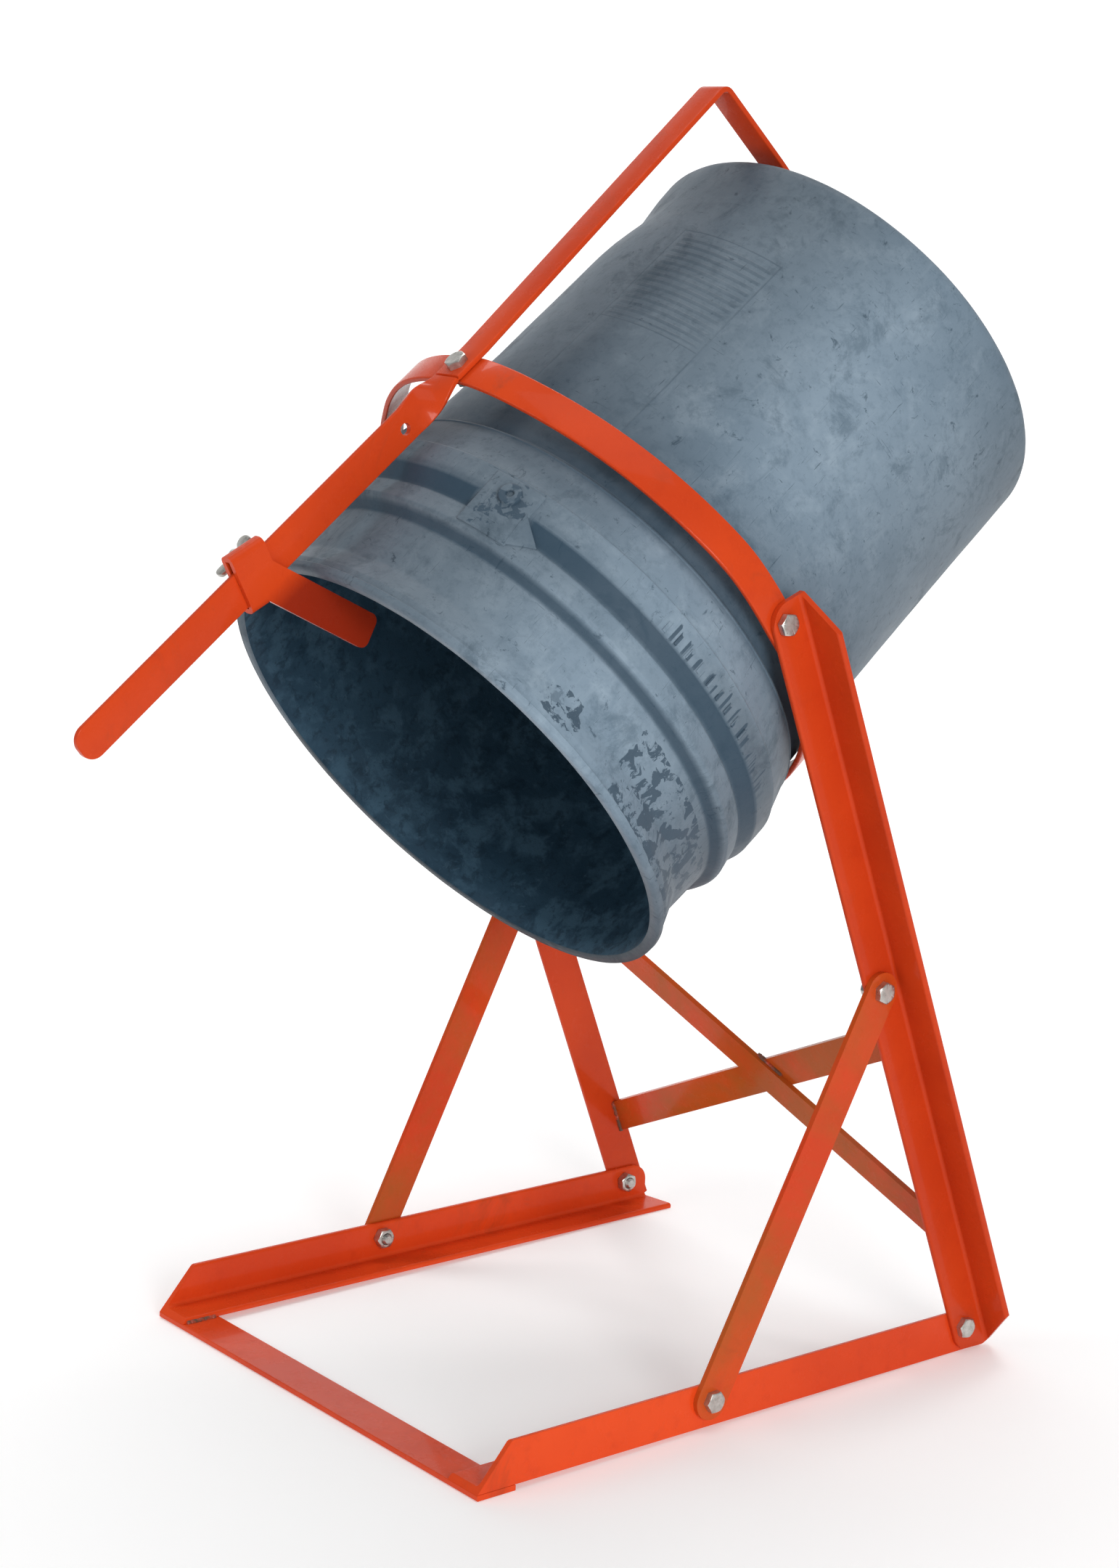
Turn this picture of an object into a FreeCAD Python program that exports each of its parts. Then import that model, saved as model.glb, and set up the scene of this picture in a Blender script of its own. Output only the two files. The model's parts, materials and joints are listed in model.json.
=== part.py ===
"""Tilting bucket mixer stand: a 5-gallon pail in a hoop that swings between two leaning posts.

Everything is laid out in the stand's own frame: X across, Y from the pouring side (-Y) to the rear (+Y),
Z up from the underside of the foot rails, with the swing axis over Y = 0.  to_floor() then leans the stand
back onto its crossbar and the rails' rear ends, which is how it stands, with the origin on the floor.
"""
import FreeCAD, Part
import math
import os

V = FreeCAD.Vector

# ---- stand ----
HALF_WIDTH = 154.3        # outer faces of the foot rails, and inner faces of the posts
ANGLE_SIDE = 25.4         # angle iron
ANGLE_WALL = 3.2
INSIDE_R = 2.2            # root radius of the angle iron
BAR_WALL = 3.2            # flat bar of the stand
CROSSBAR_DEPTH = 25.4
RAIL_FRONT = -182.0       # front tip of the rails
RAIL_FRONT_TOP = -160.0   # where the slanted front cut reaches the top edge
RAIL_REAR = 194.0
RAIL_REAR_INNER = 198.0   # the flat leg runs on to a point on its inner side
BOLT_HEIGHT = 16.4        # heel and brace bolts above the rail underside
HEEL_Y = 175.4            # heel bolt, where the post stands on the rail
BRACE_FOOT_Y = -22.9      # brace bolt on the rail
PIVOT_HEIGHT = 443.6
POST_FRONT = -8.0         # front edge of the post's bolted leg, ahead of the bolt line
POST_TOP = 11.2           # past the swing axis
POST_TIP = -20.0          # lower tip of the ridge, past the heel bolt
POST_TOP_CUT = 21.0       # slant across the flange's upper end
POST_FOOT_CUT = 25.0      # slant across the flange's lower end
BRACE_WIDTH = 22.2
BRACE_TOP_AT = 233.9      # bolt on the post, up from the heel bolt
CROSS_WIDTH = 20.0        # X brace bars
CROSS_SETBACK = 11.4      # front face of the rear X bar, behind the bolt line
RISING_ENDS = (44.0, 195.0)    # left and right end of the rear X bar, up the posts
FALLING_ENDS = (227.0, 55.0)   # left and right end of the front X bar

# ---- cradle ----
POUR_ANGLE = 39.14        # the pail's mouth points this far below level
HOOP_ACROSS = 153.9       # outer faces of its flats between the posts
HOOP_TOP = 158.0          # where the strap lies on it, above
HOOP_BOTTOM = 154.3       # and below
HOOP_UPPER = [            # angle round from +X, outer radius
    (8, 155.3), (16, 156.4), (26, 154.2), (36, 152.3), (48, 151.0), (60, 151.1), (70, 152.6), (80, 156.0),
    (86.5, 158.1), (90, HOOP_TOP), (93.5, 158.1), (100, 159.2), (109, 159.0), (118, 156.0), (127, 152.5),
    (138, 150.8), (150, 152.4), (162, 155.6), (172, 155.3),
]
HOOP_LOWER = [            # the same on both sides of straight down
    (8, 155.3), (18, 156.0), (30, 154.8), (45, 153.4), (60, 153.4), (75, 153.9), (86.5, 154.4),
]
HOOP_WALL = 3.2
HOOP_WIDTH = 19.5
STRAP_WIDTH = 19.5
STRAP_WALL = 3.2
STRAP_END = 10.0          # the return leg ends here, just past the hoop's middle
STRAP_LIFT = -14.0        # behind here the strap leaves the hoop's rim
STRAP_CORNER = (-232.3, 169.3)
STRAP_CROSS = (-242.5, 104.0)  # the cross-piece starts to bow here
STRAP_BOW = (-251.0, 0.0)
STRAP_CORNER_R = 5.4
TWIST = (9.0, 46.0)       # the strap turns a quarter between these
HANDLE_OUT = 157.4        # centre of the handle, from the pail axis
HANDLE_END = 298.35
HANDLE_END_R = 8.5
HANDLE_HOLE = (48.2, 156.2)
HANDLE_HOLE_R = 3.25

# ---- pail ----
PAIL_OFFSET = -9.9        # it lies against the hoop's lower side
PAIL_MOUTH = 140.4
PAIL_BOTTOM = -227.6
PAIL_WALL = 2.4
RIM_R = 151.0
NECK_R = 143.5
COLLAR_R = 153.5
BODY_TOP_R = 141.0
BODY_BOTTOM_R = 135.0
BOTTOM_EDGE_R = 11.0
EAR_ANGLES = (61.5, 241.5)
EAR_SPREAD = 6.2
EAR_ALONG = 53.7
EAR_BOSS_R = 6.5
EAR_HOLE_R = 1.8

# ---- clamp ----
CLAMP_WALL = 3.0
CLAMP_GAP = 0.35
CLAMP_CENTRE = (166.6, 158.5)
CLAMP_LENGTH = 22.0
CLAMP_INNER_HEIGHT = 27.8
CLAMP_COCK = 11.6         # the sleeve sits this far askew on the handle
CLAMP_CORNER_R = 3.8
TONGUE_WIDTH = 19.4
TONGUE_ANGLE = 25.0       # from square to the handle, towards the pail's bottom
TONGUE_TIP = (131.8, 85.9)
SCREW_AT = (162.0, 164.5)
SCREW_TURN = 12.0         # the wings' angle from the handle's line
WELD_NUT_HEIGHT = 5.0
HUB_R = 4.5
HUB_LENGTH = 6.0

# ---- fasteners ----
BOLT_R = 3.175
BOLT_CLEARANCE = 0.075
HEAD_FLATS = 11.1
HEAD_HEIGHT = 4.0
NUT_HEIGHT = 5.5
THREAD_SHOWN = 1.8
RUNNING_GAP = 0.3
ROLLED_EDGE = 0.5

AX = V(1, 0, 0)
PIVOT = V(0, 0, PIVOT_HEIGHT)
HEEL = V(0, HEEL_Y, BOLT_HEIGHT)
BRACE_FOOT = V(0, BRACE_FOOT_Y, BOLT_HEIGHT)
POST_LENGTH = (PIVOT - HEEL).Length
UP_POST = (PIVOT - HEEL) * (1 / POST_LENGTH)
BEHIND = UP_POST.cross(AX)                      # square to the posts, rearwards
BRACE_TOP = HEEL + UP_POST * BRACE_TOP_AT
POUR = math.radians(POUR_ANGLE)
AWAY = V(0, -math.cos(POUR), -math.sin(POUR))   # along the pail axis, out of its mouth
OUT = V(0, -math.sin(POUR), math.cos(POUR))     # from the pail axis to the handle
LEAN = math.degrees(math.atan(BAR_WALL / (RAIL_REAR_INNER - RAIL_FRONT - CROSSBAR_DEPTH)))


# ---------------------------------------------------------------- helpers

def cradle_point(along, out, across=0.0):
    """A point of the cradle: along the pail axis, out towards the handle, and across."""
    return PIVOT + AWAY * along + OUT * out + AX * across


def pail_point(along, radius, angle=90.0):
    """A point of the pail: along its axis, by its radius and its angle round from +X."""
    turn = math.radians(angle)
    return cradle_point(along, PAIL_OFFSET + radius * math.sin(turn), radius * math.cos(turn))


def post_point(along, behind, across=0.0):
    """A point of a post, measured from the heel bolt."""
    return HEEL + UP_POST * along + BEHIND * behind + AX * across


def at_x(point, x):
    return V(x, point.y, point.z)


def mirrored(shape):
    return shape.mirror(V(0, 0, 0), AX)


def outline(corners, radii=None, closed=True):
    """Straight runs between corner points, each corner rounded by its radius."""
    count = len(corners)
    radii = radii or [0.0] * count
    stops = []
    for i, corner in enumerate(corners):
        inside = closed or 0 < i < count - 1
        if radii[i] <= 0 or not inside:
            stops.append((corner, None, corner))
            continue
        back = (corners[i - 1] - corner).normalize()
        ahead = (corners[(i + 1) % count] - corner).normalize()
        half = math.acos(max(-1.0, min(1.0, back.dot(ahead)))) / 2
        reach = radii[i] / math.tan(half)
        middle = corner + (back + ahead).normalize() * (radii[i] / math.sin(half) - radii[i])
        stops.append((corner + back * reach, middle, corner + ahead * reach))
    edges = []
    for i, (start, middle, end) in enumerate(stops):
        if middle is not None:
            edges.append(Part.Arc(start, middle, end).toShape())
        following = stops[(i + 1) % count][0]
        last = i == count - 1 and not closed
        if not last and (following - end).Length > 1e-6:
            edges.append(Part.LineSegment(end, following).toShape())
    return Part.Wire(edges)


def plate(corners, thickness, radii=None):
    """A flat plate from its outline, thickened by a vector."""
    return Part.Face(outline(corners, radii)).extrude(thickness)


def through(centre, direction, radius, depth=40.0):
    """A cylinder centred on a point, to cut a through hole."""
    return Part.makeCylinder(radius, depth, centre - direction * (depth / 2), direction)


def angle_iron(corner, first, second, along):
    """Angle iron from its outer corner: two legs along first and second, run along a vector."""
    a, b = ANGLE_SIDE, ANGLE_WALL
    spots = [(0, 0), (a, 0), (a, b), (b, b), (b, a), (0, a)]
    radii = [ROLLED_EDGE, 0.3, 1.6, INSIDE_R, 1.6, 0.3]
    return plate([corner + first * x + second * y for x, y in spots], along, radii)


# ---------------------------------------------------------------- stand

def foot_rail():
    """Right foot rail: upright leg outside with a slanted front cut, flat leg pointed at the rear."""
    inner = HALF_WIDTH - ANGLE_SIDE
    length = RAIL_REAR_INNER - RAIL_FRONT
    rail = angle_iron(V(HALF_WIDTH, RAIL_FRONT, 0), AX * -1, V(0, 0, 1), V(0, length, 0))
    from_side = plate(
        [V(HALF_WIDTH, RAIL_FRONT, 0), V(HALF_WIDTH, RAIL_REAR_INNER, 0),
         V(HALF_WIDTH, RAIL_REAR_INNER, ANGLE_WALL), V(HALF_WIDTH, RAIL_REAR, ANGLE_WALL),
         V(HALF_WIDTH, RAIL_REAR, ANGLE_SIDE), V(HALF_WIDTH, RAIL_FRONT_TOP, ANGLE_SIDE)],
        AX * -ANGLE_SIDE, [0, 0, 0, 0, 11, 3])
    from_above = plate(
        [V(HALF_WIDTH, RAIL_FRONT, 0), V(HALF_WIDTH, RAIL_REAR, 0), V(inner, RAIL_REAR_INNER, 0),
         V(inner, RAIL_FRONT, 0)],
        V(0, 0, ANGLE_SIDE))
    rail = rail.common(from_side).common(from_above)
    for spot in (HEEL, BRACE_FOOT):
        rail = rail.cut(through(at_x(spot, HALF_WIDTH), AX, BOLT_R + BOLT_CLEARANCE))
    return rail


def front_crossbar():
    """Flat bar welded under the front ends of both rails."""
    front, rear = RAIL_FRONT, RAIL_FRONT + CROSSBAR_DEPTH
    corners = [V(-HALF_WIDTH, front, 0), V(-HALF_WIDTH, rear, 0), V(-HALF_WIDTH, rear, -BAR_WALL),
               V(-HALF_WIDTH, front, -BAR_WALL)]
    return plate(corners, AX * (2 * HALF_WIDTH), [ROLLED_EDGE, ROLLED_EDGE, 0.3, ROLLED_EDGE])


def post():
    """Right post: bolted leg with round ends, flange behind it with slanted ends."""
    ridge = POST_FRONT + ANGLE_SIDE
    web = ridge - ANGLE_WALL
    end = POST_LENGTH + POST_TOP
    inner, outer = HALF_WIDTH, HALF_WIDTH + ANGLE_SIDE
    angle = angle_iron(post_point(POST_TIP, ridge, inner), AX, BEHIND * -1, UP_POST * (end - POST_TIP))
    from_side = plate(
        [post_point(end, POST_FRONT, inner), post_point(end, ridge, inner),
         post_point(POST_TIP, ridge, inner), post_point(POST_TIP, web - 4.0, inner),
         post_point(POST_TIP + 8.0, POST_FRONT, inner)],
        AX * ANGLE_SIDE, [12, 0, 0, 6, 10])
    from_front = plate(
        [post_point(end, ridge, inner), post_point(end, ridge, inner + ANGLE_WALL),
         post_point(end - POST_TOP_CUT, ridge, outer), post_point(POST_TIP + POST_FOOT_CUT, ridge, outer),
         post_point(POST_TIP, ridge, inner + ANGLE_WALL), post_point(POST_TIP, ridge, inner)],
        BEHIND * -ANGLE_SIDE, [0, 0, 2, 2, 0, 0])
    angle = angle.common(from_side).common(from_front)
    for spot in (HEEL, BRACE_TOP, PIVOT):
        angle = angle.cut(through(at_x(spot, HALF_WIDTH), AX, BOLT_R + BOLT_CLEARANCE))
    return angle


def brace():
    """Right brace: flat bar with round ends, outside the rail below and outside the post above."""
    foot = at_x(BRACE_FOOT, HALF_WIDTH)
    top = at_x(BRACE_TOP, HALF_WIDTH + ANGLE_WALL)
    up = (top - foot).normalize()
    side = up.cross(AX).normalize()
    outward = side.cross(up).normalize()
    half = BRACE_WIDTH / 2
    start, finish = foot - up * half, top + up * half
    bar = plate([start - side * half, start + side * half, finish + side * half, finish - side * half],
                outward * BAR_WALL, [half - 0.05] * 4)
    for spot in (foot, top):
        bar = bar.cut(through(spot, AX, BOLT_R + BOLT_CLEARANCE))
    return bar


def x_brace_bar(left_end, right_end, front_face):
    """Flat bar from post to post, its broad faces square to BEHIND."""
    start = post_point(left_end, front_face, -HALF_WIDTH)
    finish = post_point(right_end, front_face, HALF_WIDTH)
    along = (finish - start).normalize()
    side = along.cross(BEHIND).normalize() * (CROSS_WIDTH / 2)
    start, finish = start - along * 30, finish + along * 30
    strip = plate([start - side, start + side, finish + side, finish - side], BEHIND * BAR_WALL)
    room = Part.makeBox(2 * HALF_WIDTH, 700, 700, V(-HALF_WIDTH, -300, -100))
    return strip.common(room)


# ---------------------------------------------------------------- cradle

def hoop():
    """Flat bar rolled into a ring, flat at the pivots and under the strap, and drilled there."""
    upper = [(0, HOOP_ACROSS)] + HOOP_UPPER + [(180, HOOP_ACROSS)]
    down = [(180 + angle, radius) for angle, radius in HOOP_LOWER]
    back = [(360 - angle, radius) for angle, radius in reversed(HOOP_LOWER)]
    ring = upper + down + [(270, HOOP_BOTTOM)] + back

    def disc(shrink):
        points = []
        for angle, radius in ring:
            turn = math.radians(angle)
            reach = radius - shrink
            points.append(cradle_point(-HOOP_WIDTH / 2, reach * math.sin(turn), reach * math.cos(turn)))
        curve = Part.BSplineCurve()
        curve.interpolate(points, PeriodicFlag=True)
        return Part.Face(Part.Wire(curve.toShape())).extrude(AWAY * HOOP_WIDTH)

    band = disc(0).cut(disc(HOOP_WALL))
    band = band.cut(through(PIVOT, AX, BOLT_R + BOLT_CLEARANCE, 400))
    return band.cut(through(cradle_point(0, HOOP_TOP), OUT, BOLT_R + BOLT_CLEARANCE))


def strap_section(along, out, turn):
    """The strap's cross section turned about its centre: 0 lies flat on the hoop, 90 stands on edge."""
    angle = math.radians(turn)
    wide = (AX * math.cos(angle) - OUT * math.sin(angle)) * (STRAP_WIDTH / 2)
    thick = (AX * math.sin(angle) + OUT * math.cos(angle)) * (STRAP_WALL / 2)
    centre = cradle_point(along, out)
    corners = [centre - wide - thick, centre + wide - thick, centre + wide + thick, centre - wide + thick]
    return Part.makePolygon(corners + [corners[0]])


def bent_bar(spine):
    """Flat bar bent along a spine of straight runs and arcs that lies at X = 0."""
    wire = outline([cradle_point(*spot[:2]) for spot in spine], [spot[2] for spot in spine], closed=False)
    edges = wire.Edges
    solids = []
    for edge in edges:
        start, finish = edge.Vertexes[0].Point, edge.Vertexes[-1].Point
        if isinstance(edge.Curve, Part.Circle):
            solids.append(bend_block(edge))
            continue
        normal = (finish - start).normalize().cross(AX) * (STRAP_WALL / 2)
        shift = AX * (STRAP_WIDTH / 2)
        solids.append(plate([start - normal - shift, finish - normal - shift,
                             finish + normal - shift, start + normal - shift], AX * STRAP_WIDTH))
    return solids[0].fuse(solids[1:]).removeSplitter()


def bend_block(edge):
    """The bar's curved block over one arc of the spine."""
    centre = edge.Curve.Center
    radius = edge.Curve.Radius
    start, finish = edge.Vertexes[0].Point, edge.Vertexes[-1].Point
    middle = edge.valueAt((edge.FirstParameter + edge.LastParameter) / 2)
    shift = AX * (STRAP_WIDTH / 2)
    spokes = [(spot - centre).normalize() for spot in (start, middle, finish)]
    inner, outer = [
        [centre + spoke * (radius + side * STRAP_WALL / 2) - shift for spoke in spokes] for side in (-1, 1)
    ]
    edges = [
        Part.Arc(*inner).toShape(),
        Part.LineSegment(inner[2], outer[2]).toShape(),
        Part.Arc(*outer).toShape(),
        Part.LineSegment(outer[0], inner[0]).toShape(),
    ]
    return Part.Face(Part.Wire(Part.sortEdges(edges)[0])).extrude(AX * STRAP_WIDTH)


def handle_strap():
    """One flat bar: handle, quarter twist, run over the hoop, cross-piece behind the pail, return leg."""
    mid = HOOP_TOP + STRAP_WALL / 2
    low = -HOOP_BOTTOM - STRAP_WALL / 2
    corner, cross, bow = STRAP_CORNER, STRAP_CROSS, STRAP_BOW
    spine = [
        (TWIST[0], mid, 0), (STRAP_LIFT, mid, 60), (*corner, STRAP_CORNER_R), (*cross, 250), (*bow, 380),
        (cross[0], -cross[1], 250), (corner[0], -corner[1], STRAP_CORNER_R), (STRAP_LIFT, low, 60),
        (STRAP_END, low, 0),
    ]
    strap = bent_bar(spine)
    steps = 10
    sections = []
    for i in range(steps + 1):
        share = i / steps
        eased = share * share * (3 - 2 * share)
        along = TWIST[0] + (TWIST[1] - TWIST[0]) * share
        sections.append(strap_section(along, mid + (HANDLE_OUT - mid) * share, 90 * eased))
    twist = Part.makeLoft(sections, True, False)
    half = STRAP_WIDTH / 2
    left = -STRAP_WALL / 2
    handle = plate(
        [cradle_point(TWIST[1], HANDLE_OUT - half, left), cradle_point(HANDLE_END, HANDLE_OUT - half, left),
         cradle_point(HANDLE_END, HANDLE_OUT + half, left), cradle_point(TWIST[1], HANDLE_OUT + half, left)],
        AX * STRAP_WALL, [0, HANDLE_END_R, HANDLE_END_R, 0])
    strap = strap.fuse([twist, handle]).removeSplitter()
    strap = strap.cut(through(cradle_point(*HANDLE_HOLE), AX, HANDLE_HOLE_R))
    return strap.cut(through(cradle_point(0, mid), OUT, BOLT_R + BOLT_CLEARANCE))


def pail():
    """Moulded pail: flared rim, neck, stepped rings, tapered body and rounded bottom edge."""
    edge = BOTTOM_EDGE_R
    body_inner = BODY_TOP_R - PAIL_WALL
    outside = [
        (PAIL_BOTTOM, 0, 0), (PAIL_BOTTOM, BODY_BOTTOM_R, edge), (14.0, BODY_TOP_R, 2), (17.0, 146.0, 0.8),
        (42.0, 152.5, 0), (42.5, COLLAR_R, 0), (58.0, COLLAR_R - 0.3, 0), (69.0, 149.0, 0.8), (81.5, 151.5, 1.5),
        (88.0, 144.6, 2), (118.0, NECK_R, 8), (131.0, 148.3, 3), (136.0, 148.6, 0), (136.2, RIM_R - 0.2, 0.8),
        (PAIL_MOUTH, RIM_R - 0.4, 1.4),
    ]
    inside = [
        (PAIL_MOUTH, 144.2, 1.0), (128.0, 143.0, 4), (115.0, NECK_R - PAIL_WALL, 8), (15.0, body_inner, 0),
        (PAIL_BOTTOM + PAIL_WALL + 0.8, BODY_BOTTOM_R - PAIL_WALL, edge - PAIL_WALL),
        (PAIL_BOTTOM + PAIL_WALL + 0.8, 0, 0),
    ]
    profile = outside + inside
    wall = Part.Face(outline([pail_point(p[0], p[1]) for p in profile], [p[2] for p in profile]))
    vessel = wall.revolve(pail_point(0, 0), AWAY, 360)
    vessel = vessel.fuse([pail_ear(angle) for angle in EAR_ANGLES]).removeSplitter()
    for angle in EAR_ANGLES:
        outward = (pail_point(0, 10, angle) - pail_point(0, 0, angle)).normalize()
        vessel = vessel.cut(Part.makeCylinder(EAR_HOLE_R, 9.0, pail_point(EAR_ALONG, 149.5, angle), outward))
    return vessel


def pail_ear(angle):
    """Moulded block that fills the channel between the rings, with a round boss on it."""
    first = angle - EAR_SPREAD
    section = [pail_point(42.5, 147.0, first), pail_point(42.5, COLLAR_R + 0.9, first),
               pail_point(66.0, COLLAR_R + 0.9, first), pail_point(81.0, 151.7, first),
               pail_point(81.0, 147.0, first)]
    block = Part.Face(outline(section)).revolve(pail_point(0, 0), AWAY, 2 * EAR_SPREAD)
    outward = (pail_point(0, 10, angle) - pail_point(0, 0, angle)).normalize()
    boss = Part.makeCylinder(EAR_BOSS_R, 6.4, pail_point(EAR_ALONG, 149.3, angle), outward)
    return block.fuse(boss)


# ---------------------------------------------------------------- clamp

def clamp_body():
    """Plate folded round the handle as a loose sleeve, with a tongue that hooks into the pail's mouth."""
    cock = math.radians(CLAMP_COCK)
    along = AWAY * math.cos(cock) + OUT * math.sin(cock)
    up = OUT * math.cos(cock) - AWAY * math.sin(cock)
    centre = cradle_point(*CLAMP_CENTRE)
    inner_x = STRAP_WALL / 2 + CLAMP_GAP

    def tube(half_x, half_up, radius):
        start = centre - along * (CLAMP_LENGTH / 2)
        corners = [start + AX * (sx * half_x) + up * (su * half_up)
                   for sx, su in ((-1, -1), (1, -1), (1, 1), (-1, 1))]
        return plate(corners, along * CLAMP_LENGTH, [radius] * 4)

    sleeve = tube(inner_x + CLAMP_WALL, CLAMP_INNER_HEIGHT / 2 + CLAMP_WALL, CLAMP_CORNER_R)
    opening = tube(inner_x, CLAMP_INNER_HEIGHT / 2, 0.3)
    lean = math.radians(TONGUE_ANGLE)
    down = OUT * -math.cos(lean) - AWAY * math.sin(lean)
    side = AWAY * math.cos(lean) - OUT * math.sin(lean)
    tip = cradle_point(*TONGUE_TIP, inner_x)
    half = TONGUE_WIDTH / 2
    root = tip + down * (centre - tip).dot(down)
    tongue = plate([root - side * half, root + side * half, tip + side * half, tip - side * half],
                   AX * CLAMP_WALL, [3, 3, 4.5, 4.5])
    body = sleeve.fuse(tongue).cut(opening).removeSplitter()
    return body.cut(Part.makeCylinder(BOLT_R + BOLT_CLEARANCE, 13.0, cradle_point(*SCREW_AT, -14.0), AX))


def clamp_weld_nut():
    """Nut welded on the sleeve's far wall, threaded for the wing screw."""
    seat = cradle_point(*SCREW_AT, -(STRAP_WALL / 2 + CLAMP_GAP + CLAMP_WALL))
    body = hexagon(seat, AX * -1, HEAD_FLATS, WELD_NUT_HEIGHT, 12)
    return body.cut(through(seat, AX, BOLT_R + BOLT_CLEARANCE, 30))


def wing_screw():
    """Wing screw: shank through nut and sleeve wall, round hub and two raised ears."""
    tip_x = -(STRAP_WALL / 2 + RUNNING_GAP)
    nut_x = -(STRAP_WALL / 2 + CLAMP_GAP + CLAMP_WALL + WELD_NUT_HEIGHT)
    hub_x = nut_x - 2.2
    spot = cradle_point(*SCREW_AT)
    shank = Part.makeCylinder(BOLT_R, tip_x - hub_x + 1.0, at_x(spot, hub_x - 1.0), AX)
    hub = Part.makeCone(HUB_R - 0.8, HUB_R, HUB_LENGTH, at_x(spot, hub_x - HUB_LENGTH), AX)
    turn = math.radians(SCREW_TURN)
    spread = AWAY * math.cos(turn) - OUT * math.sin(turn)
    face = spread.cross(AX).normalize() * 1.3
    ears = []
    for sign in (-1, 1):
        profile = [(0.0, -0.6, 0), (7.5, -0.4, 3), (13.6, -3.6, 3.0), (13.0, -11.2, 3.0), (6.6, -9.2, 3.0),
                   (3.6, -5.6, 1.0), (0.0, -5.6, 0)]
        corners = [at_x(spot, hub_x + lift) + spread * (sign * reach) - face for reach, lift, _ in profile]
        ears.append(plate(corners, face * 2, [item[2] for item in profile]))
    return shank.fuse([hub] + ears).removeSplitter()


# ---------------------------------------------------------------- fasteners

def hexagon(seat, direction, flats, height, turn):
    """Hex prism on a seat, its outer corners turned off."""
    side = (V(0, 1, 0) if abs(direction.y) < 0.5 else V(1, 0, 0))
    side = (side - direction * side.dot(direction)).normalize()
    other = direction.cross(side)
    corner_r = flats / math.sqrt(3)
    angles = [math.radians(60 * i + turn) for i in range(6)]
    prism = plate([seat + (side * math.cos(t) + other * math.sin(t)) * corner_r for t in angles],
                  direction * height)
    drop = corner_r - flats / 2 + 0.3
    rise = drop * 0.6
    lower = Part.makeCylinder(corner_r + 0.1, height - rise, seat, direction)
    shoulder = seat + direction * (height - rise)
    upper = Part.makeCone(corner_r + 0.1, corner_r + 0.1 - drop, rise, shoulder, direction)
    return prism.common(lower.fuse(upper))


def bolt(seat, direction, grip, turn):
    """Hex bolt: the head stands on the seat and points along direction, the shank runs back through the grip."""
    length = grip + NUT_HEIGHT + THREAD_SHOWN
    tip = 0.6
    start = seat - direction * (length - tip)
    shank = Part.makeCylinder(BOLT_R, length - tip, start, direction)
    point = Part.makeCone(BOLT_R - tip, BOLT_R, tip, start - direction * tip, direction)
    return hexagon(seat, direction, HEAD_FLATS, HEAD_HEIGHT, turn).fuse([shank, point]).removeSplitter()


def nut(seat, direction, turn):
    """Hex nut that stands on the seat and points along direction."""
    body = hexagon(seat, direction, HEAD_FLATS, NUT_HEIGHT, turn)
    return body.cut(through(seat, direction, BOLT_R + 0.01))


def side_fasteners():
    """Right-hand bolt and nut of every joint between rail, post and brace, and of the pivot."""
    rail_inside = HALF_WIDTH - ANGLE_WALL
    post_outside = HALF_WIDTH + ANGLE_WALL
    hoop_inside = HOOP_ACROSS - HOOP_WALL
    joints = {
        "heel": (HEEL, rail_inside, post_outside, 12),
        "brace_foot": (BRACE_FOOT, rail_inside, HALF_WIDTH + BAR_WALL, 20),
        "brace_top": (BRACE_TOP, HALF_WIDTH, post_outside + BAR_WALL, 5),
        "pivot": (PIVOT, hoop_inside, post_outside + RUNNING_GAP, 25),
    }
    made = {}
    for name, (spot, inside, outside, turn) in joints.items():
        made[name + "_bolt"] = bolt(at_x(spot, outside), AX, outside - inside, turn)
        made[name + "_nut"] = nut(at_x(spot, inside), AX * -1, turn + 17)
    return made


# ---------------------------------------------------------------- welds

def bead(start, finish, radius):
    """Weld bead: a round-ended rod sunk into the joint."""
    along = finish - start
    rod = Part.makeCylinder(radius, along.Length, start, along)
    return rod.fuse([Part.makeSphere(radius, start), Part.makeSphere(radius, finish)]).removeSplitter()


def crossbar_welds():
    """Beads where the rails stand on the crossbar: along the inner edge and across the rear edge."""
    inner = HALF_WIDTH - ANGLE_SIDE
    rear = RAIL_FRONT + CROSSBAR_DEPTH
    beads = []
    for sign in (-1, 1):
        beads.append(bead(V(sign * inner, RAIL_FRONT + 4, 0.2), V(sign * inner, rear - 4, 0.2), 1.6))
        beads.append(bead(V(sign * (inner + 4), rear, -0.7), V(sign * (HALF_WIDTH - 4), rear, -0.7), 1.4))
    return beads


def x_end_welds():
    """Upright beads where the X bars meet the posts' inner faces."""
    rear, front = CROSS_SETBACK, CROSS_SETBACK - BAR_WALL
    ends = [(RISING_ENDS[0], -1, rear), (RISING_ENDS[1], 1, rear), (FALLING_ENDS[0], -1, front),
            (FALLING_ENDS[1], 1, front)]
    half = CROSS_WIDTH / 2
    return [bead(post_point(along - half, face, sign * HALF_WIDTH),
                 post_point(along + half, face, sign * HALF_WIDTH), 1.7) for along, sign, face in ends]


def x_centre_welds():
    """Two beads at the crossing of the X bars, along the front bar's edges."""
    rise = (RISING_ENDS[1] - RISING_ENDS[0]) / (2 * HALF_WIDTH)
    fall = (FALLING_ENDS[1] - FALLING_ENDS[0]) / (2 * HALF_WIDTH)
    rise_mid, fall_mid = sum(RISING_ENDS) / 2, sum(FALLING_ENDS) / 2
    x = (fall_mid - rise_mid) / (rise - fall)
    centre = post_point(rise_mid + rise * x, CROSS_SETBACK, x)
    along = (AX + UP_POST * fall).normalize()
    square = along.cross(BEHIND)
    edge = square * (CROSS_WIDTH / 2)
    return [bead(centre + edge * sign - along * 9, centre + edge * sign + along * 9, 1.6) for sign in (-1, 1)]


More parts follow.
